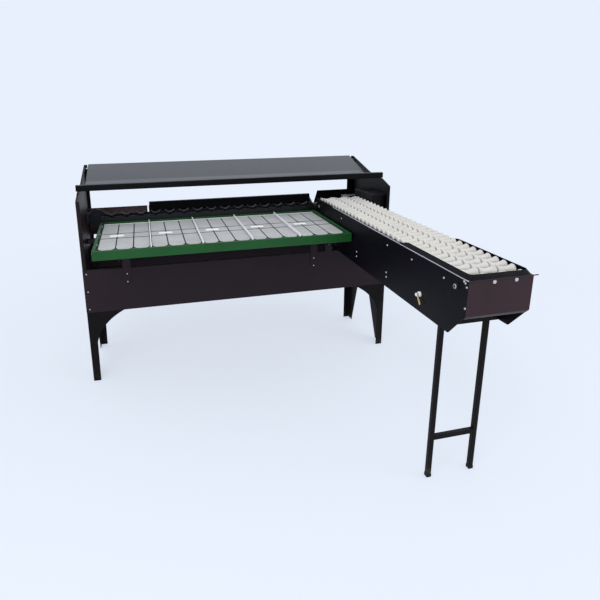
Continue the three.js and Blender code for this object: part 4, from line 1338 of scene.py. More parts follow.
@dataclass
class Leg(SubAssembly):
    """An L of folded sheet whose two wings widen in an arc to meet the body."""

    side: Side
    end: End
    sheet: float = 2.5
    top: float = 475.0
    arc_top: float = 375.0
    foot: float = 34.0
    neck: Span = (36.0, 213.75)
    reach: float = 178.0
    bend: Span = (0.18, 0.64)
    side_bend: Span = (0.25, 0.6)
    span: float = 402.1
    front_share: float = 0.62
    rear_share: float = 0.38
    rear_gap: float = 1.5
    side_foot_share: float = 0.32
    side_neck_share: float = 0.76
    side_neck: float = 240.0
    front_inset: float = 2.3
    rear_insets: Span = (11.0, 36.0)
    rear_y: float = 404.4
    fold: float = 3.2
    arc_steps: int = 12
    floor_gap: float = 0.3

    def _wing(self, foot: float, neck: Span, reach: float, bend: Span) -> list[Span]:
        """The outline of one wing.

        Args:
            foot: its width on the floor.
            neck: width and height of the neck.
            reach: its width at the top.
            bend: where the arc's control point lies between neck and reach.

        Returns:
            Its corners by distance from the leg's corner and height.
        """
        (x0, z0), (x2, z2) = neck, (reach, self.arc_top)
        x1, z1 = x0 + (x2 - x0) * bend[0], z0 + (z2 - z0) * bend[1]
        arc = []
        for i in range(self.arc_steps + 1):
            t = i / self.arc_steps
            a, b, c = (1 - t) ** 2, 2 * t * (1 - t), t * t
            arc.append((a * x0 + b * x1 + c * x2, a * z0 + b * z1 + c * z2))
        gap = self.floor_gap
        return [(0, gap), (foot, gap), *arc, (reach, self.top), (0, self.top)]

    def build(self) -> None:
        """Builds the leg."""
        front = self.end is End.FRONT
        inset = self.front_inset if front else self.rear_insets[0 if self.side is Side.LEFT else 1]
        x, inward = self.side.x(inset), self.side.inward
        y, forward = (self.front_inset, 1.0) if front else (self.rear_y, -1.0)
        share, gap = (self.front_share, 0.0) if front else (self.rear_share, self.rear_gap)
        side_reach = self.span * share - gap
        cross = self._wing(self.foot, self.neck, self.reach, self.bend)
        along = self._wing(side_reach * self.side_foot_share,
                           (side_reach * self.side_neck_share, self.side_neck),
                           side_reach, self.side_bend)
        name = f"leg_{self.end.value}_{self.side.value}"
        wings = [
            Piece.traced(f"{name}_cross", [(x + inward * u, y, z) for u, z in cross]),
            Piece.traced(f"{name}_side", [(x, y + forward * v, z) for v, z in along]),
        ]
        leg = Piece.joined(f"{name}_sheet", wings)
        with leg.editing():
            leg.weld()
            leg.bevel(lambda m, way: abs(way.z) > STRAIGHT and near(m.x, x) and near(m.y, y), self.fold, 4)
        leg.folded((0, -forward, 0), self.sheet)
        leg.fitted(LEG_COAT, Slot.BLACK_PAINT, name)


# The collecting table


@dataclass
class CollectingTable(SubAssembly):
    """A green rail frame round a backed deck of rubber mats, with dividers and brackets."""

    x: Span = (78, 1268)
    y: Span = (-268, 278)
    z: Span = (720, 762)
    rail: float = 14.0
    deck_x: Span = (92.3, 1253.7)
    deck_y: Span = (-253.7, 263.7)
    deck_top: float = 752.0
    deck_sheet: float = 4.0
    mat_rise: float = 3.0
    mat_sink: float = 0.5
    mat_corner: float = 4.0
    mat_gap: float = 5.0
    edge_gap: float = 6.0
    row_shares: tuple[float, ...] = (0.42, 0.17, 0.41)
    lane_left: float = LANES_LEFT
    lane_width: float = LANE
    lanes: int = 5
    columns: int = 3
    tongue: float = 33.0
    tongue_gap: float = 10.0
    row_gap: float = 1.6
    label: Span = (65, 28)
    label_offset: float = 42.0
    divider_width: float = 5.0
    divider_height: float = 16.0
    bar_depth: float = 8.0
    bracket_width: float = 38.0
    bracket_lefts: Span = (187, 1151)
    bracket_sheet: float = 3.0
    bracket_y: Span = (-265, 275)
    bracket_bolts: Span = (563, 522)
    bracket_bottom: float = 515.0
    bracket_corner: float = 9.0
    arm_sheet: float = 2.5
    arm_flange: float = 13.0
    arm_gap: float = 0.3
    strap_y: float = -5.6
    strap_edge: float = 0.5
    inner_screws: tuple[float, ...] = (-150, 40, 200)
    screw_drop: float = 5.4
    label_sheet: float = 1.4
    label_rise: float = 1.0
    nose: float = 34.0
    nose_step: float = 5.0

    def build(self) -> None:
        """Builds the whole table."""
        self._frame()
        self._deck()
        self._mats()
        self._labels()
        self._dividers()
        for side, left in zip(Side, self.bracket_lefts):
            self._bracket(side, left)

    def _frame(self) -> None:
        """Builds the rail frame as one ring."""
        (x0, x1), (y0, y1), (z0, z1) = self.x, self.y, self.z
        ring = Piece.traced("table_frame_rails", [(x0, y0, z0), (x1, y0, z0), (x1, y1, z0), (x0, y1, z0)])
        with ring.editing():
            ring.pick_all()
            ring.inset(self.rail)
            ring.pick(Kind.FACE, lambda m, _: near(m.x, (x0 + x1) / 2, 5) and near(m.y, (y0 + y1) / 2, 5))
            bpy.ops.mesh.delete(type="FACE")
            ring.pick_all()
            ring.draw((0, 0, z1 - z0))
            ring.weld()
            ring.outward()
        ring.softened(2.2, 3).fitted(GREEN_COAT, Slot.GREEN_PAINT, "table_frame")
        inner = [(x0 + self.rail, y, z1 - self.screw_drop) for y in self.inner_screws]
        self.fasteners.row("table_frame_inner_screws", Head.SCREW, inner, (1, 0, 0))

    def _deck(self) -> None:
        """Builds the backing under the mats, painted dark as shade in the gaps between them."""
        deck = Piece.block("table_deck_backing", self.deck_x, self.deck_y,
                           (self.deck_top - self.deck_sheet, self.deck_top))
        with deck.editing():
            deck.pick(Kind.FACE, looks_up)
            deck.inset(3.0)
            deck.inset(1.2, 0.5)
        deck.softened(0.6, 1).fitted(MAT_GAP_SHADE_BACKING, Slot.GREY_MAT, "table_deck")

    def _rows(self) -> list[Span]:
        """The depths of the three rows of mats."""
        usable = self.deck_y[1] - self.deck_y[0] - self.edge_gap * 2 - self.bar_depth
        start, rows = self.deck_y[0] + self.edge_gap, []
        for share in self.row_shares:
            rows.append((start + self.mat_gap / 2, start + usable * share - self.mat_gap / 2))
            start += usable * share
        return rows

    def _mats(self) -> None:
        """Builds the mats, each row's kinds once, and copies them along the table."""
        column = self.lane_width / self.columns
        for number, row in enumerate(self._rows()):
            mats: list[Piece] = []
            patterns: dict[Span, Piece] = {}
            for i in range(self.lanes * self.columns):
                place, lane = i % self.columns, i // self.columns
                left = self.mat_gap / 2 + (self.divider_width / 2 if place == 0 and lane > 0 else 0)
                right = self.mat_gap / 2 + (
                    self.divider_width / 2 if place == self.columns - 1 and lane < self.lanes - 1 else 0)
                width = (left, column - right)
                if width not in patterns:
                    patterns[width] = self._mat(width, row, number == 0)
                mats.append(patterns[width].shifted(f"mat_{i}", (self.lane_left + column * i, 0, 0)))
            for pattern in patterns.values():
                pattern.removed()
            whole = Piece.joined(f"table_mats_row_{number + 1}", mats)
            whole.fitted(MAT_RUBBER, Slot.GREY_MAT, "table_deck")

    def _mat(self, x: Span, y: Span, tongued: bool) -> Piece:
        """Builds one mat.

        Args:
            x: its width, from the column's left edge.
            y: its depth.
            tongued: whether its front end is a rounded tongue.

        Returns:
            The mat.
        """
        y = (y[0] + (self.tongue_gap if tongued else self.row_gap), y[1] - self.row_gap)
        mat = Piece.block("mat", x, y, (self.deck_top - self.mat_sink, self.deck_top + self.mat_rise))
        with mat.editing():
            if tongued:
                mat.bevel(lambda m, way: abs(way.z) > STRAIGHT and near(m.y, y[0]), self.tongue, 10)
            mat.bevel(lambda m, way: abs(way.z) > STRAIGHT and near(m.y, y[1]), self.mat_corner, 3)
            mat.pick(Kind.FACE, looks_up)
            mat.inset(2.4)
            mat.push((0, 0, -0.5))
        return mat.softened(0.9, 2, 50)

    def _labels(self) -> None:
        """Builds the five bare label plates, each on the middle row of its lane."""
        row = self._rows()[1]
        middle, (width, depth) = (row[0] + row[1]) / 2, self.label
        top = self.deck_top + self.mat_rise + self.label_rise
        plate = Piece.block("label", (0, width), (middle - depth / 2, middle + depth / 2),
                            (top - self.label_sheet, top))
        with plate.editing():
            plate.bevel(runs_along(Axis.Z), 3.0, 4)
            plate.pick(Kind.FACE, looks_up)
            plate.inset(1.6, 0.25)
        plate.softened(0.25, 1, 50)
        plates = plate.spread([(self.lane_left + self.lane_width * i + self.label_offset, 0, 0)
                               for i in range(self.lanes)])
        Piece.joined("bare_label_plates", plates).fitted(PLATE_PLASTIC, Slot.WHITE_PLASTIC, "table_deck")

    def _dividers(self) -> None:
        """Builds the lane dividers with sloped, rounded front ends, and the bar behind them."""
        low, high = self.deck_top + 0.3, self.deck_top + self.divider_height + 0.3
        front, back = self.deck_y[0] + self.edge_gap, self.deck_y[1] - self.edge_gap
        step = low + self.nose_step
        slope = [(front + self.nose * t, step + (high - step) * math.sin(t * math.pi / 2))
                 for t in (i / 6 for i in range(7))]
        outline = [(back, low), (back, high), *reversed(slope), (front, low)]
        half = self.divider_width / 2
        strip = Piece.prism("divider_pattern", Axis.X, outline, (-half, half)).softened(1.4, 3, 35)
        strips = strip.spread([(self.lane_left + self.lane_width * i, 0, 0)
                               for i in range(1, self.lanes)])
        bar = Piece.block("divider_bar", (self.lane_left, self.lane_left + self.lane_width * self.lanes),
                          (back - self.bar_depth, back), (low, low + self.mat_rise)).softened(0.8, 2)
        Piece.joined("lane_divider_strips", [bar, *strips]).fitted(
            DIVIDER_PLASTIC, Slot.WHITE_PLASTIC, "lane_dividers")

    def _bracket(self, side: Side, left: float) -> None:
        """Builds one bracket: a folded arm under the table and a strap on the front panel.

        Args:
            side: the bracket's side.
            left: the place of its left edge.
        """
        right, top, strap = left + self.bracket_width, self.z[0] - self.arm_gap, self.strap_y
        (front, back), bottom = self.bracket_y, self.bracket_bottom
        arm = Piece.traced("bracket_arm", [
            (left, front, top), (right, front, top), (right, back, top), (left, back, top)])
        with arm.editing():
            for x in (left, right):
                arm.pick(Kind.EDGE, lambda m, way, e=x: near(m.x, e) and abs(way.y) > STRAIGHT)
                arm.draw((0, 0, -self.arm_flange))
            arm.bevel(lambda m, way: near(m.z, top) and abs(way.y) > STRAIGHT, 2.0, 3)
        arm.folded((0, 0, 1), self.arm_sheet)
        drop = Piece.traced("bracket_drop", [
            (left, strap, bottom), (right, strap, bottom),
            (right, strap, top - 1), (left, strap, top - 1)])
        with drop.editing():
            drop.bevel(lambda m, _: near(m.z, bottom), self.bracket_corner, 5, Kind.VERT)
        drop.folded((0, -1, 0), self.bracket_sheet, self.strap_edge, 2)
        name = f"table_bracket_{side.value}"
        Piece.joined(f"{name}_sheet", [drop, arm]).fitted(BROWN_COAT, Slot.BLACK_PAINT, name)
        middle = (left + right) / 2
        places = [(middle, strap, z) for z in self.bracket_bolts]
        self.fasteners.row(f"{name}_bolts", Head.SCREW, places, (0, -1, 0))


# The conveyor


@dataclass
class Trough(SubAssembly):
    """Two walls with a chamfered nose, a front plate with a lip, a painted-highlight rim trim and a leaning
    collar.
    """

    x: Span = (1274, 1512)
    wall: tuple[Span, ...] = ((253, 620), (253, 834), (-1150, 834), (-1150, 713), (-1068, 620))
    sheet: float = 2.0
    plate_y: float = -1152.3
    plate_z: Span = (713, 832.5)
    lip_x: Span = (1274, 1531)
    lip_y: Span = (-1154.3, -1150.3)
    lip_z: Span = (832, 835)
    collar_y: Span = (-1150, -700)
    collar_z: Span = (834.3, 850.3)
    collar_lean: float = 11.0
    collar_sheet: float = 2.5
    collar_taper: float = 60.0
    wall_screws: tuple[Span, ...] = (
        (-615, 799), (-811, 799), (-1021, 800), (-1128, 826), (-1136, 822), (-1144, 811), (-1145, 740),
        (-619, 682), (-621, 663), (-317, 682), (-319, 661), (-120, 799))
    wall_corner: float = 6.0
    trim_end: float = 3.0
    trim_reach: Span = (0.9, 1.6)
    trim_drop: float = 2.6
    trim_lift: float = 0.3
    strip: Span = (12.0, 13.6)
    strip_inset: float = 2.3
    strip_fold: float = 2.6
    plate_bolts: tuple[Span, ...] = ((1367, 824), (1448, 824))
    lip_nose: float = 3.0
    lip_ear: float = 7.0
    collar_corner: float = 14.0
    collar_edge: float = 0.6

    def build(self) -> None:
        """Builds the trough and its fasteners."""
        for side, x, out in zip(Side, self.x, (-1.0, 1.0)):
            self._wall(side, x, out)
        self._front_plate()
        self._collar()

    def _wall(self, side: Side, x: float, out: float) -> None:
        """Builds one wall with its rim trim and screws.

        Args:
            side: the wall's side.
            x: the place of its outer face.
            out: the sign of a step away from the trough.
        """
        name = f"conveyor_wall_{side.value}"
        wall = Piece.traced(f"{name}_sheet", [(x, y, z) for y, z in self.wall])
        with wall.editing():
            wall.bevel(lambda m, _: near(m.y, self.wall[4][0]) or near(m.y, self.wall[3][0]),
                       self.wall_corner, 4, Kind.VERT)
        wall.folded((out, 0, 0), self.sheet)
        wall.fitted(TROUGH_COAT, Slot.BLACK_PAINT, name)
        top, front = self.wall[2][1], self.wall[2][0]
        (outer, inner), drop, lift = self.trim_reach, self.trim_drop, self.trim_lift
        # The rim trim is painted pale lilac: a painted highlight along the wall's rim.
        trim = Piece.prism(f"rim_trim_{side.value}", Axis.Y, (
            (x, top - drop), (x + out * outer, top - drop), (x + out * outer, top + lift),
            (x - out * inner, top + lift), (x - out * inner, top), (x, top)), (front, self.trim_end))
        trim.softened(0.25, 2).fitted(RIM_HIGHLIGHT_COAT, Slot.DARK_STEEL)
        places = [(x, y, z) for y, z in self.wall_screws]
        self.fasteners.row(f"{name}_screws", Head.SCREW, places, (out, 0, 0))

    def _front_plate(self) -> None:
        """Builds the front plate, its strip bent along the chamfer and its lip."""
        (x0, x1), (low, high), y = self.x, self.plate_z, self.plate_y
        back, drop = self.strip
        plate = Piece.traced("front_plate", [(x0, y, low), (x1, y, low), (x1, y, high), (x0, y, high)])
        with plate.editing():
            plate.pick(Kind.EDGE, lambda m, way: near(m.z, low) and abs(way.x) > STRAIGHT)
            plate.draw((0, back, -drop))
            for x, sign in zip(self.x, (1, -1)):
                plate.pick(Kind.VERT, lambda m, _, e=x: near(m.z, low - drop) and near(m.x, e))
                plate.push((sign * self.strip_inset, 0, 0))
            plate.bevel(lambda m, way: near(m.z, low) and abs(way.x) > STRAIGHT, self.strip_fold, 4)
        plate.folded((0, -1, 0), self.sheet)
        plate.fitted(FRONT_PLATE_COAT, Slot.BROWN_PAINT, "conveyor_front_plate")
        (lx0, lx1), (ly0, ly1), (lz0, lz1) = self.lip_x, self.lip_y, self.lip_z
        middle, nose, ear = (ly0 + ly1) / 2, self.lip_nose, self.lip_ear
        leaf = [(lx1, middle), (lx1 - ear, ly1), (x1 - nose, ly1), (lx0 + nose, ly1), (lx0, middle),
                (lx0 + nose, ly0), (x1 - nose, ly0), (lx1 - ear, ly0)]
        lip = Piece.prism("front_lip", Axis.Z, leaf, (lz0, lz1)).softened(0.6, 2)
        lip.fitted(FRONT_PLATE_COAT, Slot.BROWN_PAINT, "conveyor_front_plate")
        places = [(x, y, z) for x, z in self.plate_bolts]
        self.fasteners.row("front_plate_bolts", Head.LOW_BOLT, places, (0, -1, 0))

    def _collar(self) -> None:
        """Builds the collar that leans inward over the rim on three sides."""
        (x0, x1), (y0, y1), (low, high) = self.x, self.collar_y, self.collar_z
        path = [(x0, y1), (x0, y0), (x1, y0), (x1, y1)]
        collar = Piece.traced("collar_sheet", [(x, y, low) for x, y in path], closed=False)
        with collar.editing():
            collar.pick_all()
            collar.draw((0, 0, high - low))
            for test, step in (
                (lambda m: near(m.x, x0), (self.collar_lean, 0, 0)),
                (lambda m: near(m.x, x1), (-self.collar_lean, 0, 0)),
                (lambda m: near(m.y, y0), (0, self.collar_lean, 0)),
            ):
                collar.pick(Kind.VERT, lambda m, _, t=test: near(m.z, high) and t(m))
                collar.push(step)
            collar.pick(Kind.VERT, lambda m, _: near(m.z, high) and near(m.y, y1))
            collar.push((0, -self.collar_taper, 0))
            collar.bevel(lambda m, way: m.y < y0 + self.collar_lean + 1 and abs(way.z) > 0.5,
                         self.collar_corner, 5)
        collar.folded((-1, 0, 0), self.collar_sheet, self.collar_edge, 2)
        collar.fitted(TROUGH_COAT, Slot.BLACK_PAINT, "conveyor_collar")


@dataclass
class RollerChain(SubAssembly):
    """Two chains over the sprockets, joined by rods; the rods of the upper run carry the rollers."""

    tail: float = -1092.0
    drive: float = 200.0
    height: float = SHAFT_HEIGHT
    pitch_radius: float = 32.0
    rows: int = 67
    links_per_row: int = 3
    chains: tuple[Span, Span] = CHAINS
    rollers: Span = (1287, 1499)
    lanes: int = 3
    rim: float = 18.5
    waist: float = 11.0
    core: float = 7.0
    groove: float = 6.0
    rod: float = 3.5
    end_gap: float = 1.5
    sides: int = 16
    roll_step: float = 0.7
    core_recess: float = 1.5
    core_lip: float = 2.0
    rim_nose: tuple[Span, ...] = ((2.2, 0), (0.4, 0.7), (0, 2.2))
    flare: float = 1.45
    link_radius: float = 4.4
    bush: float = 2.6
    bush_span: Span = (0.2, 4.8)
    narrow_plates: tuple[Span, Span] = ((1.0, 1.7), (3.3, 4.0))
    wide_plates: tuple[Span, Span] = ((0.0, 0.8), (4.2, 5.0))

    @property
    def run(self) -> float:
        """The length of the straight run."""
        return self.drive - self.tail

    @property
    def loop(self) -> float:
        """The length of the whole pitch line."""
        return 2 * self.run + 2 * math.pi * self.pitch_radius

    def _place(self, distance: float) -> tuple[float, float, float]:
        """A point of the pitch line.

        Args:
            distance: how far along it, from above the tail shaft.

        Returns:
            Depth, height, and the turn of the line about the cross axis.
        """
        arc, r = math.pi * self.pitch_radius, self.pitch_radius
        if distance < self.run:
            return self.tail + distance, self.height + r, 0.0
        if distance < self.run + arc:
            a = (distance - self.run) / r
            return self.drive + r * math.sin(a), self.height + r * math.cos(a), -a
        if distance < 2 * self.run + arc:
            return self.drive - (distance - self.run - arc), self.height - r, math.pi
        a = (distance - 2 * self.run - arc) / r
        return self.tail - r * math.sin(a), self.height - r * math.cos(a), math.pi - a

    def build(self) -> None:
        """Builds the rollers, the rods and the chains."""
        row, core, rod = self._row(), self._core(), self._rod()
        rows, cores, rods = [], [], []
        arc = math.pi * self.pitch_radius
        for i in range(self.rows):
            distance = self.loop * (i + 0.5) / self.rows
            y, z, _ = self._place(distance)
            rods.append(rod.copied(f"rod_{i}", carried((0, y, z))))
            if distance < self.run + arc / 2 or distance > self.loop - arc / 2:
                move = carried((0, y, z), Matrix.Rotation(i * self.roll_step, 4, "X"))
                rows.append(row.copied(f"row_{i}", move))
                cores.append(core.copied(f"core_{i}", move))
        for pattern in (row, core, rod):
            pattern.removed()
        Piece.joined("hourglass_rollers", rows).fitted(ROLLER_PLASTIC, Slot.WHITE_PLASTIC, "roller_chain")
        Piece.joined("roller_cores", cores).fitted(ROLLER_CORE, Slot.BLACK_PLASTIC, "roller_chain")
        Piece.joined("roller_rods", rods).fitted(STEEL, Slot.BRUSHED_STEEL, "roller_chain")
        self._chains()

    def _row(self) -> Piece:
        """One row of three hourglass rollers, turned about the left front corner of the floor."""
        x0, x1 = self.rollers
        lane = (x1 - x0) / self.lanes
        rollers = []
        for i in range(self.lanes):
            left = x0 + lane * i + (self.groove / 2 if i > 0 else 0)
            right = x0 + lane * (i + 1) - (self.groove / 2 if i < self.lanes - 1 else 0)
            middle, half = (left + right) / 2, (right - left) / 2
            start, lip = (self.core, left + self.core_recess), self.core + self.core_lip
            profile = [start, (lip, left), *((self.rim - drop, left + step) for drop, step in self.rim_nose)]
            for share in (i / 5 for i in range(-4, 5)):
                radius = self.waist + (self.rim - self.waist) * abs(share) ** self.flare
                profile.append((radius, middle + half * share))
            profile += [(self.rim - drop, right - step) for drop, step in reversed(self.rim_nose)]
            profile += [(lip, right), (self.core, right - self.core_recess), start]
            rollers.append(Piece.turned("roller", Axis.X, (0, 0), profile, self.sides))
        return Piece.joined("row_pattern", rollers).smooth(38)

    def _core(self) -> Piece:
        """The dark tube through one row of rollers."""
        span = (self.rollers[0] - self.end_gap, self.rollers[1] + self.end_gap)
        return Piece.bar("core_pattern", Axis.X, (0, 0), span, self.core + 0.2, (1, 1), 10).smooth()

    def _rod(self) -> Piece:
        """One cross rod, from chain to chain."""
        span = (self.chains[0][0] - self.end_gap, self.chains[1][1] + self.end_gap)
        return Piece.bar("rod_pattern", Axis.X, (0, 0), span, self.rod, (0.7, 0.8), 10).smooth()

    def _chains(self) -> None:
        """Builds one link once and copies it round both loops."""
        pitch = self.loop / (self.rows * self.links_per_row)
        half = pitch / 2
        outline = []
        for centre, start in ((half, -math.pi / 2), (-half, math.pi / 2)):
            for angle in (start + math.pi * i / 4 for i in range(5)):
                reach, rise = self.link_radius * math.cos(angle), self.link_radius * math.sin(angle)
                outline.append((centre + reach, rise))
        narrow, wide = ([Piece.prism("link", Axis.X, outline, x) for x in plates]
                        for plates in (self.narrow_plates, self.wide_plates))
        r, (start, end) = self.bush, self.bush_span
        bush = Piece.turned("bush", Axis.X, (half, 0), ((0, start), (r, start), (r, end), (0, end)), 8)
        inner = Piece.joined("inner_link", narrow)
        outer = Piece.joined("outer_link", [*wide, bush])
        copies = []
        count = self.rows * self.links_per_row
        for left, _ in self.chains:
            for i in range(count):
                y, z, angle = self._place(self.loop * (i + 0.5) / count % self.loop)
                move = carried((left, y, z), Matrix.Rotation(angle, 4, "X"))
                copies.append((outer if i % 2 else inner).copied(f"link_{i}", move))
        inner.removed()
        outer.removed()
        Piece.joined("conveyor_chains", copies).smooth(35).fitted(
            CHAIN_STEEL, Slot.DARK_STEEL, "roller_chain")


@dataclass
class ConveyorShafts(SubAssembly):
    """The tail and drive shafts with their sprockets, and the flange bearings that hold them."""

    radius: float = 8.0
    end_bore: Span = (5.2, 9.0)
    sprocket: Span = (26.4, 22.4)
    teeth: int = 14
    chains: tuple[Span, Span] = CHAINS
    places: tuple[tuple[str, float, Span], ...] = (
        ("tail", -1092, (1265.7, 1520.3)), ("drive", 200, (1265.7, 1573.6)))
    height: float = SHAFT_HEIGHT
    tooth_width: Span = (1.0, 4.0)
    hub: Span = (-3, 8)
    hub_radius: float = 13.0
    bearing_radius: float = 12.0
    bearing_gap: float = 0.35
    bearing_nose: tuple[Span, ...] = ((0, 0), (0, 2.4), (1.2, 3.2), (2.2, 3.2))
    bearing_taper: float = 2.6
    bearings: tuple[tuple[Side, float, float], ...] = (
        (Side.LEFT, 1273.7, -1.0), (Side.RIGHT, 1512.3, 1.0))
    bearing_width: float = 5.0

    def build(self) -> None:
        """Builds both shafts and the four bearings."""
        r, (bore, drilled) = self.radius, self.end_bore
        for name, y, (x0, x1) in self.places:
            bar = Piece.turned("bar", Axis.X, (y, self.height), (
                (0, x0 + drilled), (bore, x0 + drilled), (bore, x0), (r - 1, x0), (r, x0 + 1), (r, x1 - 1),
                (r - 1, x1), (bore, x1), (bore, x1 - drilled), (0, x1 - drilled)), 24).smooth()
            wheels = self._sprocket().spread([(chain[0], y, self.height) for chain in self.chains])
            shaft = f"{name}_shaft"
            Piece.joined(f"{shaft}_bar", [bar, *wheels]).fitted(
                STEEL, Slot.BRUSHED_STEEL, shaft, body=shaft)
            for side, x, out in self.bearings:
                self._bearing(f"bearing_{name}_{side.value}", y, x, out)

    def _sprocket(self) -> Piece:
        """One toothed wheel, at the left front corner of the floor."""
        outline = []
        for i in range(self.teeth):
            for share, radius in ((0.0, 1), (0.3, 1), (0.45, 0), (0.62, 0)):
                angle = math.tau * (i + share) / self.teeth
                r = self.sprocket[0] if radius else self.sprocket[1]
                outline.append((r * math.cos(angle), r * math.sin(angle)))
        wheel = Piece.prism("wheel_pattern", Axis.X, outline, self.tooth_width)
        hub = Piece.bar("hub", Axis.X, (0, 0), self.hub, self.hub_radius, (1, 1))
        return Piece.joined("wheel_pattern", [wheel, hub]).smooth(35)

    def _bearing(self, name: str, y: float, x: float, out: float) -> None:
        """Builds one flange bearing.

        Args:
            name: the bearing's name.
            y: the depth of the shaft.
            x: the wall's outer face.
            out: the sign of a step away from the wall.
        """
        r, bore, end = self.bearing_radius, self.radius + self.bearing_gap, x + out * self.bearing_width
        nose = [(r - drop, x + out * step) for drop, step in self.bearing_nose]
        profile = [(bore, x), *nose, (r - self.bearing_taper, end), (bore, end), (bore, x)]
        ring = Piece.turned(f"{name}_ring", Axis.X, (y, self.height), profile, 28)
        ring.smooth().fitted(BEARING_COAT, Slot.DARK_STEEL, name)


@dataclass
class CandlingLamp(SubAssembly):
    """Three lit housings on two cross bars, between the two runs of the chain."""

    lanes: Span = (1283, 1503)
    count: int = 3
    width: float = 44.0
    y: Span = (-900, -200)
    z: Span = (792.5, 801.5)
    bars: tuple[Span, ...] = ((-880, -860), (-240, -220))
    bar_x: Span = (1276.3, 1509.7)
    rim: float = 2.4
    recess: float = 3.0
    glass_gap: float = 2.8
    glass_drop: Span = (3.2, 0.6)
    glass_edge: float = 2.0
    bar_z: Span = (-1.0, 1.4)

    def build(self) -> None:
        """Builds the housings, their diffusers and the bars."""
        lane = (self.lanes[1] - self.lanes[0]) / self.count
        half, (low, high) = self.width / 2, self.z
        housing = Piece.block("housing_pattern", (-half, half), self.y, (low, high))
        with housing.editing():
            housing.pick(Kind.FACE, looks_up)
            housing.inset(self.rim)
            housing.draw((0, 0, -self.recess))
        housing.softened(0.8, 2)
        gap, (under, over) = self.glass_gap, self.glass_drop
        glass = Piece.block("glass_pattern", (-half + gap, half - gap), (self.y[0] + gap, self.y[1] - gap),
                            (high - under, high - over))
        with glass.editing():
            glass.bevel(lambda m, way: m.z > high - 1 and abs(way.y) > STRAIGHT, self.glass_edge, 4)
        glass.smooth(35)
        middles = [self.lanes[0] + lane * (i + 0.5) for i in range(self.count)]
        housings, glasses = (pattern.spread([(x, 0, 0) for x in middles]) for pattern in (housing, glass))
        heights = (low + self.bar_z[0], low + self.bar_z[1])
        bars = [Piece.block(f"bar_{i}", self.bar_x, y, heights).softened(0.5, 1)
                for i, y in enumerate(self.bars)]
        Piece.joined("lamp_housings", [*housings, *bars]).fitted(
            DIVIDER_PLASTIC, Slot.WHITE_PLASTIC, "candling_lamp")
        Piece.joined("lamp_diffusers", glasses).fitted(DIFFUSER, Slot.LAMP, "candling_lamp")


@dataclass
class BellyTray(SubAssembly):
    """A shallow tray that closes the trough's underside."""

    x: Span = (1276.3, 1509.7)
    y: Span = (-968, 227)
    z: Span = (626, 640)
    sheet: float = 1.5

    def build(self) -> None:
        """Builds the tray."""
        tray = Piece.block("belly_tray_sheet", self.x, self.y, self.z)
        with tray.editing():
            tray.pick(Kind.FACE, looks_up)
            tray.inset(self.sheet)
            tray.draw((0, 0, self.sheet - (self.z[1] - self.z[0])))
        tray.softened(0.6, 2).fitted(TROUGH_COAT, Slot.BLACK_PAINT, "belly_tray")


@dataclass
class Stand(SubAssembly):
    """Two square tube legs with a crossbar and a top bar, on plastic feet."""

    left: Span = (1276.3, 1294.3)
    right: Span = (1457, 1475)
    y: Span = (-1022, -1004)
    crossbar: Span = (160, 178)
    top: Span = (620, 638)
    top_end: float = 1509.7
    foot: float = 14.0
    foot_gap: float = 0.8
    foot_lap: float = 6.0
    top_lap: float = 2.0
    crossbar_lap: float = 0.6

    def build(self) -> None:
        """Builds the tubes and the feet."""
        lap, span = self.crossbar_lap, (self.foot - self.foot_lap, self.top[0] + self.top_lap)
        tubes = [
            self._tube("leg_a", self.left, span),
            self._tube("leg_b", self.right, span),
            self._tube("crossbar", (self.left[1] - lap, self.right[0] + lap), self.crossbar),
            self._tube("top_bar", (self.left[0], self.top_end), self.top),
        ]
        Piece.joined("stand_tubes", tubes).fitted(LEG_COAT, Slot.BLACK_PAINT, "stand_frame")
        gap, y = self.foot_gap, (self.y[0] - self.foot_gap, self.y[1] + self.foot_gap)
        feet = [Piece.block("foot", (x[0] - gap, x[1] + gap), y, (0, self.foot)).softened(1.6, 3)
                for x in (self.left, self.right)]
        Piece.joined("stand_feet", feet).fitted(BLACK_PLASTIC, Slot.BLACK_PLASTIC, "stand_frame")

    def _tube(self, name: str, x: Span, z: Span) -> Piece:
        """One tube with rounded edges."""
        return Piece.block(name, x, self.y, z).softened(2.4, 3)


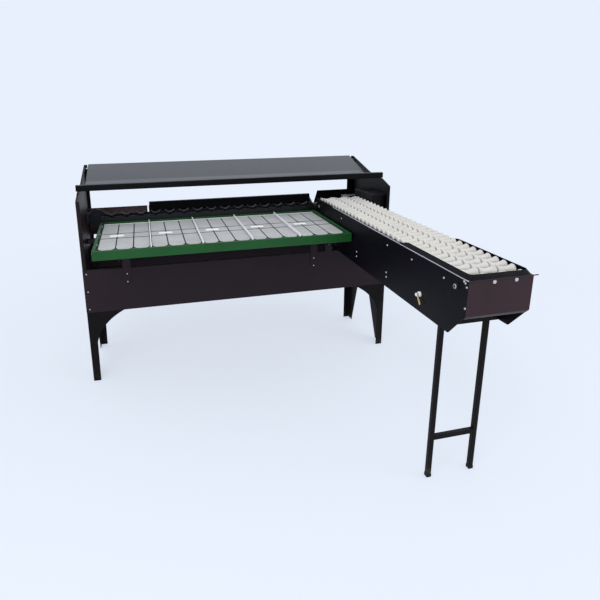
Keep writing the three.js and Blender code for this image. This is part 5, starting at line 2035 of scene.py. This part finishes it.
@dataclass
class ConveyorDrive(SubAssembly):
    """The conveyor's gearmotor on its shaft, under a vented cover."""

    gearbox_x: Span = (1517.6, 1579.6)
    gearbox_y: Span = (159, 241)
    gearbox_z: Span = (756, 838)
    motor_y: Span = (43, 164)
    motor_radius: float = 32.0
    height: float = SHAFT_HEIGHT
    mount_x: Span = (1548, 1597.7)
    cover_x: Span = (1512.3, 1597.7)
    cover_y: Span = (31, 263)
    cover_z: Span = (815, 880)
    cover_sheet: float = 1.5
    cover_edge: float = 0.3
    cover_corner: float = 4.0
    slots: int = 7
    slot_pitch: float = 11.0
    slot_inset: float = 22.0
    slot_width: float = 5.0
    slot_z: Span = (0.8, 0.5)
    slot_corner: float = 2.4
    plinth: float = 20.0
    panel_inset: float = 7.0
    panel_depth: float = 1.5

    def build(self) -> None:
        """Builds the gearmotor and the cover."""
        box = Piece.block("gearbox", self.gearbox_x, self.gearbox_y, self.gearbox_z)
        with box.editing():
            for axis in (Axis.X, Axis.Y):
                box.pick(Kind.FACE, runs_along(axis))
                box.inset(self.panel_inset, self.panel_depth, each=True)
        box.softened(1.6, 2)
        middle = (self.gearbox_x[0] + self.gearbox_x[1]) / 2
        motor = finned_motor("motor", Axis.Y, (middle, self.height), self.motor_y, self.motor_radius)
        depths = (self.gearbox_y[0] + self.plinth, self.gearbox_y[1] - self.plinth)
        mount = Piece.block("mount", self.mount_x, depths, (self.gearbox_z[0], self.height))
        mount.softened(1.2, 2)
        Piece.joined("conveyor_gearmotor_castings", [box, motor, mount]).fitted(
            MACHINE_ENAMEL, Slot.MOTOR_PAINT, "conveyor_gearmotor")
        self._cover()

    def _cover(self) -> None:
        """Builds the cover: five folded sides with vent slots pressed into the top."""
        (x0, x1), (y0, y1), z1 = self.cover_x, self.cover_y, self.cover_z[1]
        cover = Piece.block("drive_cover_sheet", self.cover_x, self.cover_y, self.cover_z)
        with cover.editing():
            cover.bevel(lambda m, way: m.z > z1 - 1 or abs(way.z) > STRAIGHT, self.cover_corner, 3)
            cover.pick(Kind.FACE, lambda m, way: way.z < -STRAIGHT)
            bpy.ops.mesh.delete(type="FACE")
        cover.folded((0, 0, 1), self.cover_sheet, self.cover_edge)
        cover.fitted(BLACK_COAT, Slot.BLACK_PAINT, "drive_cover")
        slot = Piece.block("vent", (x0 + self.slot_inset, x1 - self.slot_inset), (0, self.slot_width),
                           (z1 - self.slot_z[0], z1 + self.slot_z[1]))
        with slot.editing():
            slot.bevel(runs_along(Axis.Z), self.slot_corner, 4)
            slot.pick(Kind.FACE, looks_up)
            slot.inset(1.0, 1.0)
        slot.smooth(35)
        start = (y0 + y1) / 2 - self.slot_pitch * (self.slots - 1) / 2
        vents = slot.spread([(0, start + self.slot_pitch * i, 0) for i in range(self.slots)])
        Piece.joined("drive_cover_vents", vents).fitted(BLACK_COAT, Slot.BLACK_PAINT)


def finned_motor(name: str, axis: Axis, centre: Place, span: Span, radius: float, fins: int = 9) -> Piece:
    """A motor: a barrel with cooling fins, a terminal flange and a domed fan cap.

    Args:
        name: the motor's name.
        axis: its axis.
        centre: the axis's two places.
        span: where the fan cap starts and the barrel ends along the axis.
        radius: its outer radius, over the fins.
        fins: the number of fins.

    Returns:
        The motor.
    """
    shares = [(0.0, 0.0), (0.55, 0.0), (0.86, 0.015), (0.97, 0.05), (1.0, 0.09), (1.0, 0.24),
              (0.93, 0.26)]
    for i in range(fins):
        start = 0.28 + 0.6 * i / fins
        shares += [(0.86, start), (0.86, start + 0.03), (0.98, start + 0.034), (0.98, start + 0.058)]
    shares += [(0.86, 0.89), (0.99, 0.9), (0.99, 1.0), (0.0, 1.0)]
    profile = [(radius * r, span[0] + (span[1] - span[0]) * s) for r, s in shares]
    return Piece.turned(name, axis, centre, profile, 32).smooth(35)


# The weighing stations


@dataclass
class WeighingLevers(SubAssembly):
    """Fifteen levers, each a cup over a hub on the pivot rod, with an arm to its weight."""

    count: int = 15
    first: float = LANES_LEFT
    column: float = COLUMN
    pivot: Span = LEVER_PIVOT
    hub: Span = (8.5, 16)
    cup_y: Span = (303, 331)
    cup: Span = (26, 8.84)
    cup_z: Span = (806, 794)
    cup_sheet: float = 6.0
    arm_sheet: float = 5.0
    bar: float = 7.0
    elbow: float = 14.0
    drop: float = 68.0
    reach: float = 100.0
    weight: Span = (15, 20)

    def build(self) -> None:
        """Builds one lever and copies it to its fifteen places."""
        arm, weight = self._arm(), self._weight()
        for i in range(self.count):
            body = f"weigh_lever_{i + 1:02d}"
            step = (self.first + self.column * (i + 0.5), 0, 0)
            arm.shifted(f"{body}_arm", step).fitted(BLACK_PLASTIC, Slot.BLACK_PLASTIC, body, body=body)
            weight.shifted(f"{body}_weight", step).fitted(STEEL, Slot.BRUSHED_STEEL, body, body=body)
        arm.removed()
        weight.removed()

    def cup_shape(self, name: str) -> Piece:
        """One cup: a trough across the lane with a rounded mouth.

        Args:
            name: the cup's name.

        Returns:
            The cup.
        """
        (wide, flat), (top, seat) = self.cup, self.cup_z
        line = [(-wide, top), (-flat, seat), (flat, seat), (wide, top)]
        outline = [*line, *[(x * 0.97, z - self.cup_sheet) for x, z in reversed(line)]]
        return Piece.prism(name, Axis.Y, outline, self.cup_y).softened(1.3, 3, 20)

    def _arm(self) -> Piece:
        """The cup, the bent arm and the hub, at the left edge of the machine."""
        (y, z), half, b = self.pivot, self.arm_sheet / 2, self.bar / 2
        r, seat = self.hub[0], self.cup_z[1] - self.cup_sheet / 2
        low = z - self.drop
        bow = [(y - b + self.elbow * (1 - math.cos(a)), low - b + self.elbow * (1 - math.sin(a)))
               for a in (math.pi / 2 * i / 5 for i in range(6))]
        outline = [
            (y - r, seat), (y - r, z), (y - b, z - 12), *bow, (y + self.reach, low - b),
            (y + self.reach, low + b), (y + b + 8, low + b), (y + b, low + b + 8), (y + b, z - 12),
            (y + r * 0.6, z),
            (self.cup_y[1], seat)]
        web = Piece.prism("web", Axis.X, outline, (-half, half)).softened(0.7, 2, 30)
        h = self.hub[1] / 2
        hub = Piece.turned("hub", Axis.X, self.pivot, (
            (4.4, -h), (r - 0.8, -h), (r, -h + 0.8), (r, h - 0.8), (r - 0.8, h), (4.4, h), (4.4, -h)), 20)
        return Piece.joined("lever_pattern", [self.cup_shape("cup"), web, hub.smooth()])

    def _weight(self) -> Piece:
        """The turned weight, grooved round its rim."""
        (y, z), (r, width) = self.pivot, self.weight
        h, place = width / 2, (y + self.reach, z - self.drop)
        return Piece.turned("weight_pattern", Axis.X, place, (
            (0, -h + 1.2), (5, -h + 1.2), (6, -h), (r - 1.4, -h), (r, -h + 1.4), (r, -2), (r - 1, -1.2),
            (r - 1, 1.2), (r, 2), (r, h - 1.4), (r - 1.4, h), (6, h), (5, h - 1.2), (0, h - 1.2)),
            24).smooth()


@dataclass
class StationBeam(SubAssembly):
    """The tube that carries the stations, its posts, the pivot rod and three fixed cradles."""

    levers: WeighingLevers
    x: Span = (2.3, 1597.7)
    y: Span = (303, 341)
    z: Span = (642, 664)
    post_y: Span = (328, 341)
    post_top: float = 778.0
    post_width: float = 8.0
    posts: tuple[float, ...] = (98, 328, 558, 788, 1018, 1248)
    cradles: tuple[float, ...] = (1286.33, 1363.0, 1439.67)
    rod: Span = (93, 1253)
    rod_radius: float = 4.0
    pivot: Span = LEVER_PIVOT
    post_sink: float = 1.0
    post_round: float = 5.0
    foot_half: float = 14.0
    foot_z: Span = (-0.5, 4.0)
    stem_half: float = 5.0
    stem_drop: float = 3.0

    def build(self) -> None:
        """Builds the beam with its posts, the cradles, which share the levers' cup, and the rod."""
        levers = self.levers
        tube = Piece.block("tube", self.x, self.y, self.z).softened(2.6, 3)
        parts, top = [tube], self.z[1]
        half, foot_half, stem_half = self.post_width / 2, self.foot_half, self.stem_half
        seat, foot_z = top - self.post_sink, (top + self.foot_z[0], top + self.foot_z[1])
        for x in self.posts:
            post = Piece.block("post", (x - half, x + half), self.post_y, (seat, self.post_top))
            with post.editing():
                post.bevel(lambda m, way: near(m.z, self.post_top) and abs(way.x) > STRAIGHT,
                           self.post_round, 4)
            parts.append(post.softened(0.8, 2))
            foot = Piece.block("foot", (x - foot_half, x + foot_half), self.post_y, foot_z)
            parts.append(foot.softened(1.0, 2))
        for x in self.cradles:
            stem = Piece.block("stem", (x - stem_half, x + stem_half), levers.cup_y,
                               (seat, levers.cup_z[1] - self.stem_drop))
            parts += [stem.softened(1.2, 2), *levers.cup_shape("cradle").spread([(x, 0, 0)])]
        Piece.joined("station_beam_frame", parts).fitted(MACHINE_GREY, Slot.DARK_STEEL, "station_beam")
        rod = Piece.bar("lever_pivot_rod_bar", Axis.X, self.pivot, self.rod, self.rod_radius)
        rod.smooth().fitted(STEEL, Slot.BRUSHED_STEEL, "lever_pivot_rod")


@dataclass
class WalkingBeam(SubAssembly):
    """Two notched combs tied at both ends, hung on the pins of two cranks."""

    x: Span = (82, 1594)
    z: Span = (750, 790)
    combs: tuple[Span, Span] = ((284, 287), (350.5, 353.5))
    notches: int = 18
    first: float = LANES_LEFT
    column: float = COLUMN
    notch: Span = (16, 9)
    ties: tuple[Span, Span] = ((85, 91), (1585, 1591))
    pins: Span = (100, 1576)
    pin_hole: float = 6.35

    def build(self) -> None:
        """Builds the combs, the ties and the bushes round the pin holes."""
        low, high = self.z
        outline = [(self.x[0], low), (self.x[1], low), (self.x[1], high)]
        half, depth = self.notch
        for i in reversed(range(self.notches)):
            middle = self.first + self.column * (i + 0.5)
            outline += [(middle + half * t, high - depth * (1 - t * t))
                        for t in (1, 0.6, 0.2, -0.2, -0.6, -1)]
        outline.append((self.x[0], high))
        front = Piece.prism("comb_front", Axis.Y, outline, self.combs[0]).softened(0.5, 1, 40)
        back = front.shifted("comb_back", (0, self.combs[1][0] - self.combs[0][0], 0))
        ties = [Piece.block("tie", x, (self.combs[0][0] + 1, self.combs[1][1] - 1), (low + 3, high - 3))
                .softened(1.0, 2) for x in self.ties]
        y0, y1 = self.combs[1]
        bushes = [Piece.turned("bush", Axis.Y, (x, (low + high) / 2), (
            (self.pin_hole, y0 - 1.6), (9.5, y0 - 1.6), (10.5, y0 - 0.6), (10.5, y1 + 0.6),
            (9.5, y1 + 1.6), (self.pin_hole, y1 + 1.6), (self.pin_hole, y0 - 1.6)), 24).smooth()
            for x in self.pins]
        Piece.joined("walking_beam_combs", [front, back, *ties, *bushes]).fitted(
            BLUED_STEEL, Slot.DARK_STEEL, "walking_beam", body="walking_beam")


@dataclass
class CrankDrive(SubAssembly):
    """The two cranks, the idler's bearing block and the gearmotor of the driven crank."""

    height: float = 770.0
    shafts: tuple[tuple[str, float], ...] = (("crank_idler", 61.67), ("crank_drive", 1537.67))
    throw: float = 115.0 / 3
    disc: Span = (46.3, 8)
    disc_front: float = 357.5
    pin: Span = (6, 347.5)
    shaft: Span = (9, 395.5)
    block_x: Span = (2.3, 86.7)
    block_y: Span = (369.5, 413.5)
    block_z: Span = (747, 793)
    block_screws: tuple[Span, Span] = ((20, 78), (757, 783))
    gearbox_x: Span = (1497.7, 1597.7)
    gearbox_y: Span = (369.5, 433.5)
    gearbox_z: Span = (728, 812)
    motor_z: Span = (623, 729)
    motor_radius: float = 34.0
    block_panel: Span = (5.0, 1.5)
    gearbox_panel: Span = (8.0, 1.5)

    def build(self) -> None:
        """Builds the cranks, the block and the gearmotor."""
        for name, x in self.shafts:
            self._crank(name, x)
        block = Piece.block("crank_bearing_block", self.block_x, self.block_y, self.block_z)
        with block.editing():
            block.pick(Kind.FACE, runs_along(Axis.Y))
            block.inset(*self.block_panel, each=True)
        block.softened(1.4, 2).fitted(MACHINE_GREY, Slot.DARK_STEEL, "crank_bearing")
        across, heights = self.block_screws
        places = [(x, self.block_y[0] + self.block_panel[1], z) for x in across for z in heights]
        self.fasteners.row("crank_bearing_screws", Head.SCREW, places, (0, -1, 0))
        box = Piece.block("gearbox", self.gearbox_x, self.gearbox_y, self.gearbox_z)
        with box.editing():
            box.pick(Kind.FACE, lambda m, way: abs(way.y) > STRAIGHT or abs(way.x) > STRAIGHT)
            box.inset(*self.gearbox_panel, each=True)
        box.softened(1.8, 2)
        centre = (self.shafts[1][1], sum(self.gearbox_y) / 2)
        motor = finned_motor("motor", Axis.Z, centre, self.motor_z, self.motor_radius)
        Piece.joined("beam_gearmotor_castings", [box, motor]).fitted(
            MACHINE_ENAMEL, Slot.MOTOR_PAINT, "beam_gearmotor")

    def _crank(self, name: str, x: float) -> None:
        """Builds one crank: a disc, its pin and its shaft.

        Args:
            name: the crank's name, which is its body's too.
            x: the place of its shaft.
        """
        (r, thick), y = self.disc, self.disc_front
        disc = Piece.turned("disc", Axis.Y, (x, self.height), (
            (0, y + 1.5), (16, y + 1.5), (17, y), (r - 6, y), (r - 5, y + 1), (r - 1, y + 1), (r, y + 2),
            (r, y + thick - 1), (r - 1, y + thick), (0, y + thick)), 40).smooth()
        (p, front), (s, end) = self.pin, self.shaft
        pin = Piece.turned("pin", Axis.Y, (x + self.throw, self.height), (
            (0, front + 1), (2, front + 1), (2.6, front), (p - 1, front), (p, front + 1), (p, y + 3),
            (0, y + 3)), 20).smooth()
        shaft = Piece.turned("shaft", Axis.Y, (x, self.height), (
            (0, y + thick - 2), (s, y + thick - 2), (s, end - 1), (s - 1, end), (0, end)), 24).smooth()
        whole = Piece.joined(f"{name}_disc", [disc, pin, shaft])
        whole.fitted(BLUED_STEEL, Slot.DARK_STEEL, name, body=name)


# Small fittings


@dataclass
class LampSwitch(SubAssembly):
    """A white boss on the trough's left wall and the brass lever that flips on it."""

    place: Span = (-884, 688)
    wall: float = 1273.7
    boss: Span = (10, 8)
    lever_x: Span = (1260.1, 1265.1)
    lever_length: float = 40.0
    lever_angle: float = 39.0
    lever_tip: float = 4.0
    lever_hub: float = 6.6
    hub_gap: float = 32.0

    def build(self) -> None:
        """Builds the boss with its pin and cap, and the lever."""
        (y, z), x, (r, length) = self.place, self.wall, self.boss
        face, cap = x - length, self.lever_x[0] - 0.3
        boss = Piece.turned("switch_body_boss", Axis.X, self.place, (
            (0, x), (r, x), (r, face + 2), (r - 0.6, face + 0.6), (r - 2, face), (3.2, face), (3.2, cap),
            (6.2, cap), (6.6, cap - 0.9), (6.0, cap - 2.9), (0, cap - 3.2)), 28)
        boss.smooth(35).fitted(DIVIDER_PLASTIC, Slot.WHITE_PLASTIC, "switch_body")
        angle = math.radians(self.lever_angle)
        along = Vector((-math.sin(angle), -math.cos(angle)))
        across = Vector((along.y, -along.x))
        def corner(distance: float, width: float) -> Span:
            """A corner of the lever by its distance from the pin and its half width."""
            spot = Vector((y, z)) + along * distance + across * width
            return (spot.x, spot.y)
        end, hub_radius = self.lever_tip, self.lever_hub
        tip = [(self.lever_length - end + end * math.cos(a), end * math.sin(a))
               for a in (-math.pi / 2 + math.pi * i / 6 for i in range(7))]
        turn = 360 - 2 * self.hub_gap
        hub = [(hub_radius * math.cos(a), hub_radius * math.sin(a))
               for a in (math.radians(self.hub_gap + turn * i / 12) for i in range(13))]
        outline = [corner(d, w) for d, w in (*tip, *hub)]
        lever = Piece.prism("switch_lever_bar", Axis.X, outline, self.lever_x).softened(0.9, 3, 40)
        lever.fitted(BRASS, Slot.BRASS, "switch_lever", body="switch_lever")


@dataclass
class PowerInlet(SubAssembly):
    """A recessed appliance inlet on the right end plate, with three pins."""

    x: Span = (1600.3, 1612.3)
    y: Span = (240.5, 290.5)
    z: Span = (540, 570)
    rim: float = 5.5
    depth: float = 9.0
    corner: float = 4.0
    pins: tuple[Span, ...] = ((-7, -2), (7, -2), (0, 3))
    pin_x: Span = (2.0, 2.4)
    pin_half: Span = (1.0, 2.0)

    def build(self) -> None:
        """Builds the housing and the pins."""
        housing = Piece.block("power_inlet_housing", self.x, self.y, self.z)
        with housing.editing():
            housing.bevel(runs_along(Axis.X), self.corner, 4)
            housing.pick(Kind.FACE, lambda m, way: way.x > STRAIGHT)
            housing.inset(self.rim)
            housing.draw((-self.depth, 0, 0))
        housing.softened(0.6, 2, 50).fitted(BLACK_PLASTIC, Slot.BLACK_PLASTIC, "power_inlet")
        middle = ((self.y[0] + self.y[1]) / 2, (self.z[0] + self.z[1]) / 2)
        span, (thick, tall) = (self.x[0] + self.pin_x[0], self.x[1] - self.pin_x[1]), self.pin_half
        pins = []
        for dy, dz in self.pins:
            y, z = middle[0] + dy, middle[1] + dz
            pin = Piece.block("pin", span, (y - thick, y + thick), (z - tall, z + tall))
            pins.append(pin.softened(0.5, 2))
        Piece.joined("power_inlet_pins", pins).fitted(BRASS, Slot.BRASS)


# The studio


@dataclass
class Studio:
    """A pale floor under plain soft light, and the camera at the photograph's angle."""

    place: Span = (316.5, -2410.4)
    height: float = 1382.1
    yaw: float = 13.965
    pitch: float = 14.857
    roll: float = -0.332
    focal: float = 497.9
    picture: float = 600.0
    aim: Span = (267.3, 232.0)
    sensor: float = 36.0
    sky: Colour = paint(232, 240, 253)
    white: Colour = (1.0, 1.0, 1.0, 1.0)
    daylight: float = 0.82
    floor_lift: float = 0.66
    floor_radius: float = 40.0
    floor_fade: Span = (1.5, 3.6)
    lights: tuple[tuple[str, Place, float, float], ...] = (
        ("key_light", (-1.6, -2.6, 3.4), 2.4, 58.0), ("fill_light", (3.2, -1.8, 2.6), 2.6, 26.0))

    def build(self) -> None:
        """Builds the camera, the lights, the world and the floor."""
        self._camera()
        for light in self.lights:
            self._light(*light)
        self._world()
        self._floor()
        bpy.context.scene.view_settings.view_transform = "Standard"
        log.info("studio is lit")

    def _camera(self) -> None:
        """Places the camera."""
        yaw, pitch, roll = (math.radians(a) for a in (self.yaw, self.pitch, self.roll))
        ahead = math.cos(pitch)
        forward = Vector((math.sin(yaw) * ahead, math.cos(yaw) * ahead, -math.sin(pitch)))
        level = Vector((math.cos(yaw), -math.sin(yaw), 0))
        up = level.cross(forward)
        right = math.cos(roll) * level + math.sin(roll) * up
        top = math.cos(roll) * up - math.sin(roll) * level
        lens = bpy.data.cameras.new("camera")
        camera = bpy.data.objects.new("camera", lens)
        bpy.context.scene.collection.objects.link(camera)
        place = Matrix((right, top, -forward)).transposed().to_4x4()
        place.translation = at(*self.place, self.height)
        camera.matrix_world = place
        lens.sensor_width = self.sensor
        lens.lens = self.focal / self.picture * self.sensor
        lens.shift_x = (self.picture / 2 - self.aim[0]) / self.picture
        lens.shift_y = (self.aim[1] - self.picture / 2) / self.picture
        bpy.context.scene.camera = camera

    def _light(self, name: str, place: Place, size: float, power: float) -> None:
        """Hangs one soft light that looks at the machine.

        Args:
            name: its name.
            place: where it hangs, in metres.
            size: the side of its square.
            power: its power in watts.
        """
        lamp = bpy.data.lights.new(name, "AREA")
        lamp.energy, lamp.size = power, size
        light = bpy.data.objects.new(name, lamp)
        bpy.context.scene.collection.objects.link(light)
        light.location = place
        light.rotation_euler = (Vector((0, 0, 0.7)) - light.location).to_track_quat("-Z", "Y").to_euler()

    def _world(self) -> None:
        """Lights the room evenly, and shows the pale backdrop to the camera and in reflections."""
        world = bpy.data.worlds.new("studio_world")
        bpy.context.scene.world = world
        bench = NodeBench("studio_world", world)
        light = bench.node("ShaderNodeBackground", {}, {"Color": self.white, "Strength": self.daylight})
        show = bench.node("ShaderNodeBackground", {}, {"Color": self.sky, "Strength": 1.0})
        mix = bench.node("ShaderNodeMixShader", {}, {0: bench.shown(), 1: light, 2: show})
        bench.node_output(mix, "ShaderNodeOutputWorld")

    def _floor(self) -> None:
        """Lays a wide round floor that fades into the backdrop away from the machine."""
        bare_bench()
        bpy.ops.mesh.primitive_circle_add(vertices=96, radius=self.floor_radius, fill_type="NGON")
        floor = bpy.context.active_object
        floor.name = "studio_floor"
        bench = NodeBench("studio_floor_paint")
        spread = bench.node("ShaderNodeVectorMath", {"operation": "LENGTH"}, {0: bench.place()}, "Value")
        far = self.floor_lift + bench.between(spread, *self.floor_fade) * (1 - self.floor_lift)
        speck = bench.noise(60.0, 3.0)
        tone = bench.mixed(speck, shaded(self.sky, 0.985), self.sky)
        paintwork = bench.node("ShaderNodeBsdfPrincipled", {}, {
            "Base Color": tone, "Roughness": 0.85, "Specular IOR Level": 0.1,
            "Normal": bench.bump(speck, 0.0001, 0.3)})
        glow = bench.node("ShaderNodeEmission", {}, {"Color": self.sky, "Strength": 1.0})
        mix = bench.node("ShaderNodeMixShader", {}, {0: far * bench.shown(), 1: paintwork, 2: glow})
        bench.node_output(mix)
        floor.data.materials.append(bench.material)


def main() -> None:
    """Builds and dresses the machine, piece by piece, and sets up the studio."""
    logging.basicConfig(level=logging.INFO, format="%(name)s: %(message)s")
    fasteners = Fasteners()
    levers = WeighingLevers(fasteners)
    ends = [EndPlate(fasteners, side) for side in Side]
    legs = [Leg(fasteners, side, end) for side in Side for end in End]
    body = [kind(fasteners) for kind in (FrontRail, Hood, FrontPanel, RearPanels)]
    table = CollectingTable(fasteners)
    conveyor = [kind(fasteners) for kind in (
        Trough, RollerChain, ConveyorShafts, CandlingLamp, BellyTray, Stand, ConveyorDrive)]
    stations = [levers, StationBeam(fasteners, levers), WalkingBeam(fasteners), CrankDrive(fasteners)]
    fittings = [LampSwitch(fasteners), PowerInlet(fasteners)]
    for assembly in (*ends, *body, *legs, table, *conveyor, *stations, *fittings):
        assembly.build()
    fasteners.clear()
    Studio().build()


if __name__ == "__main__":
    main()
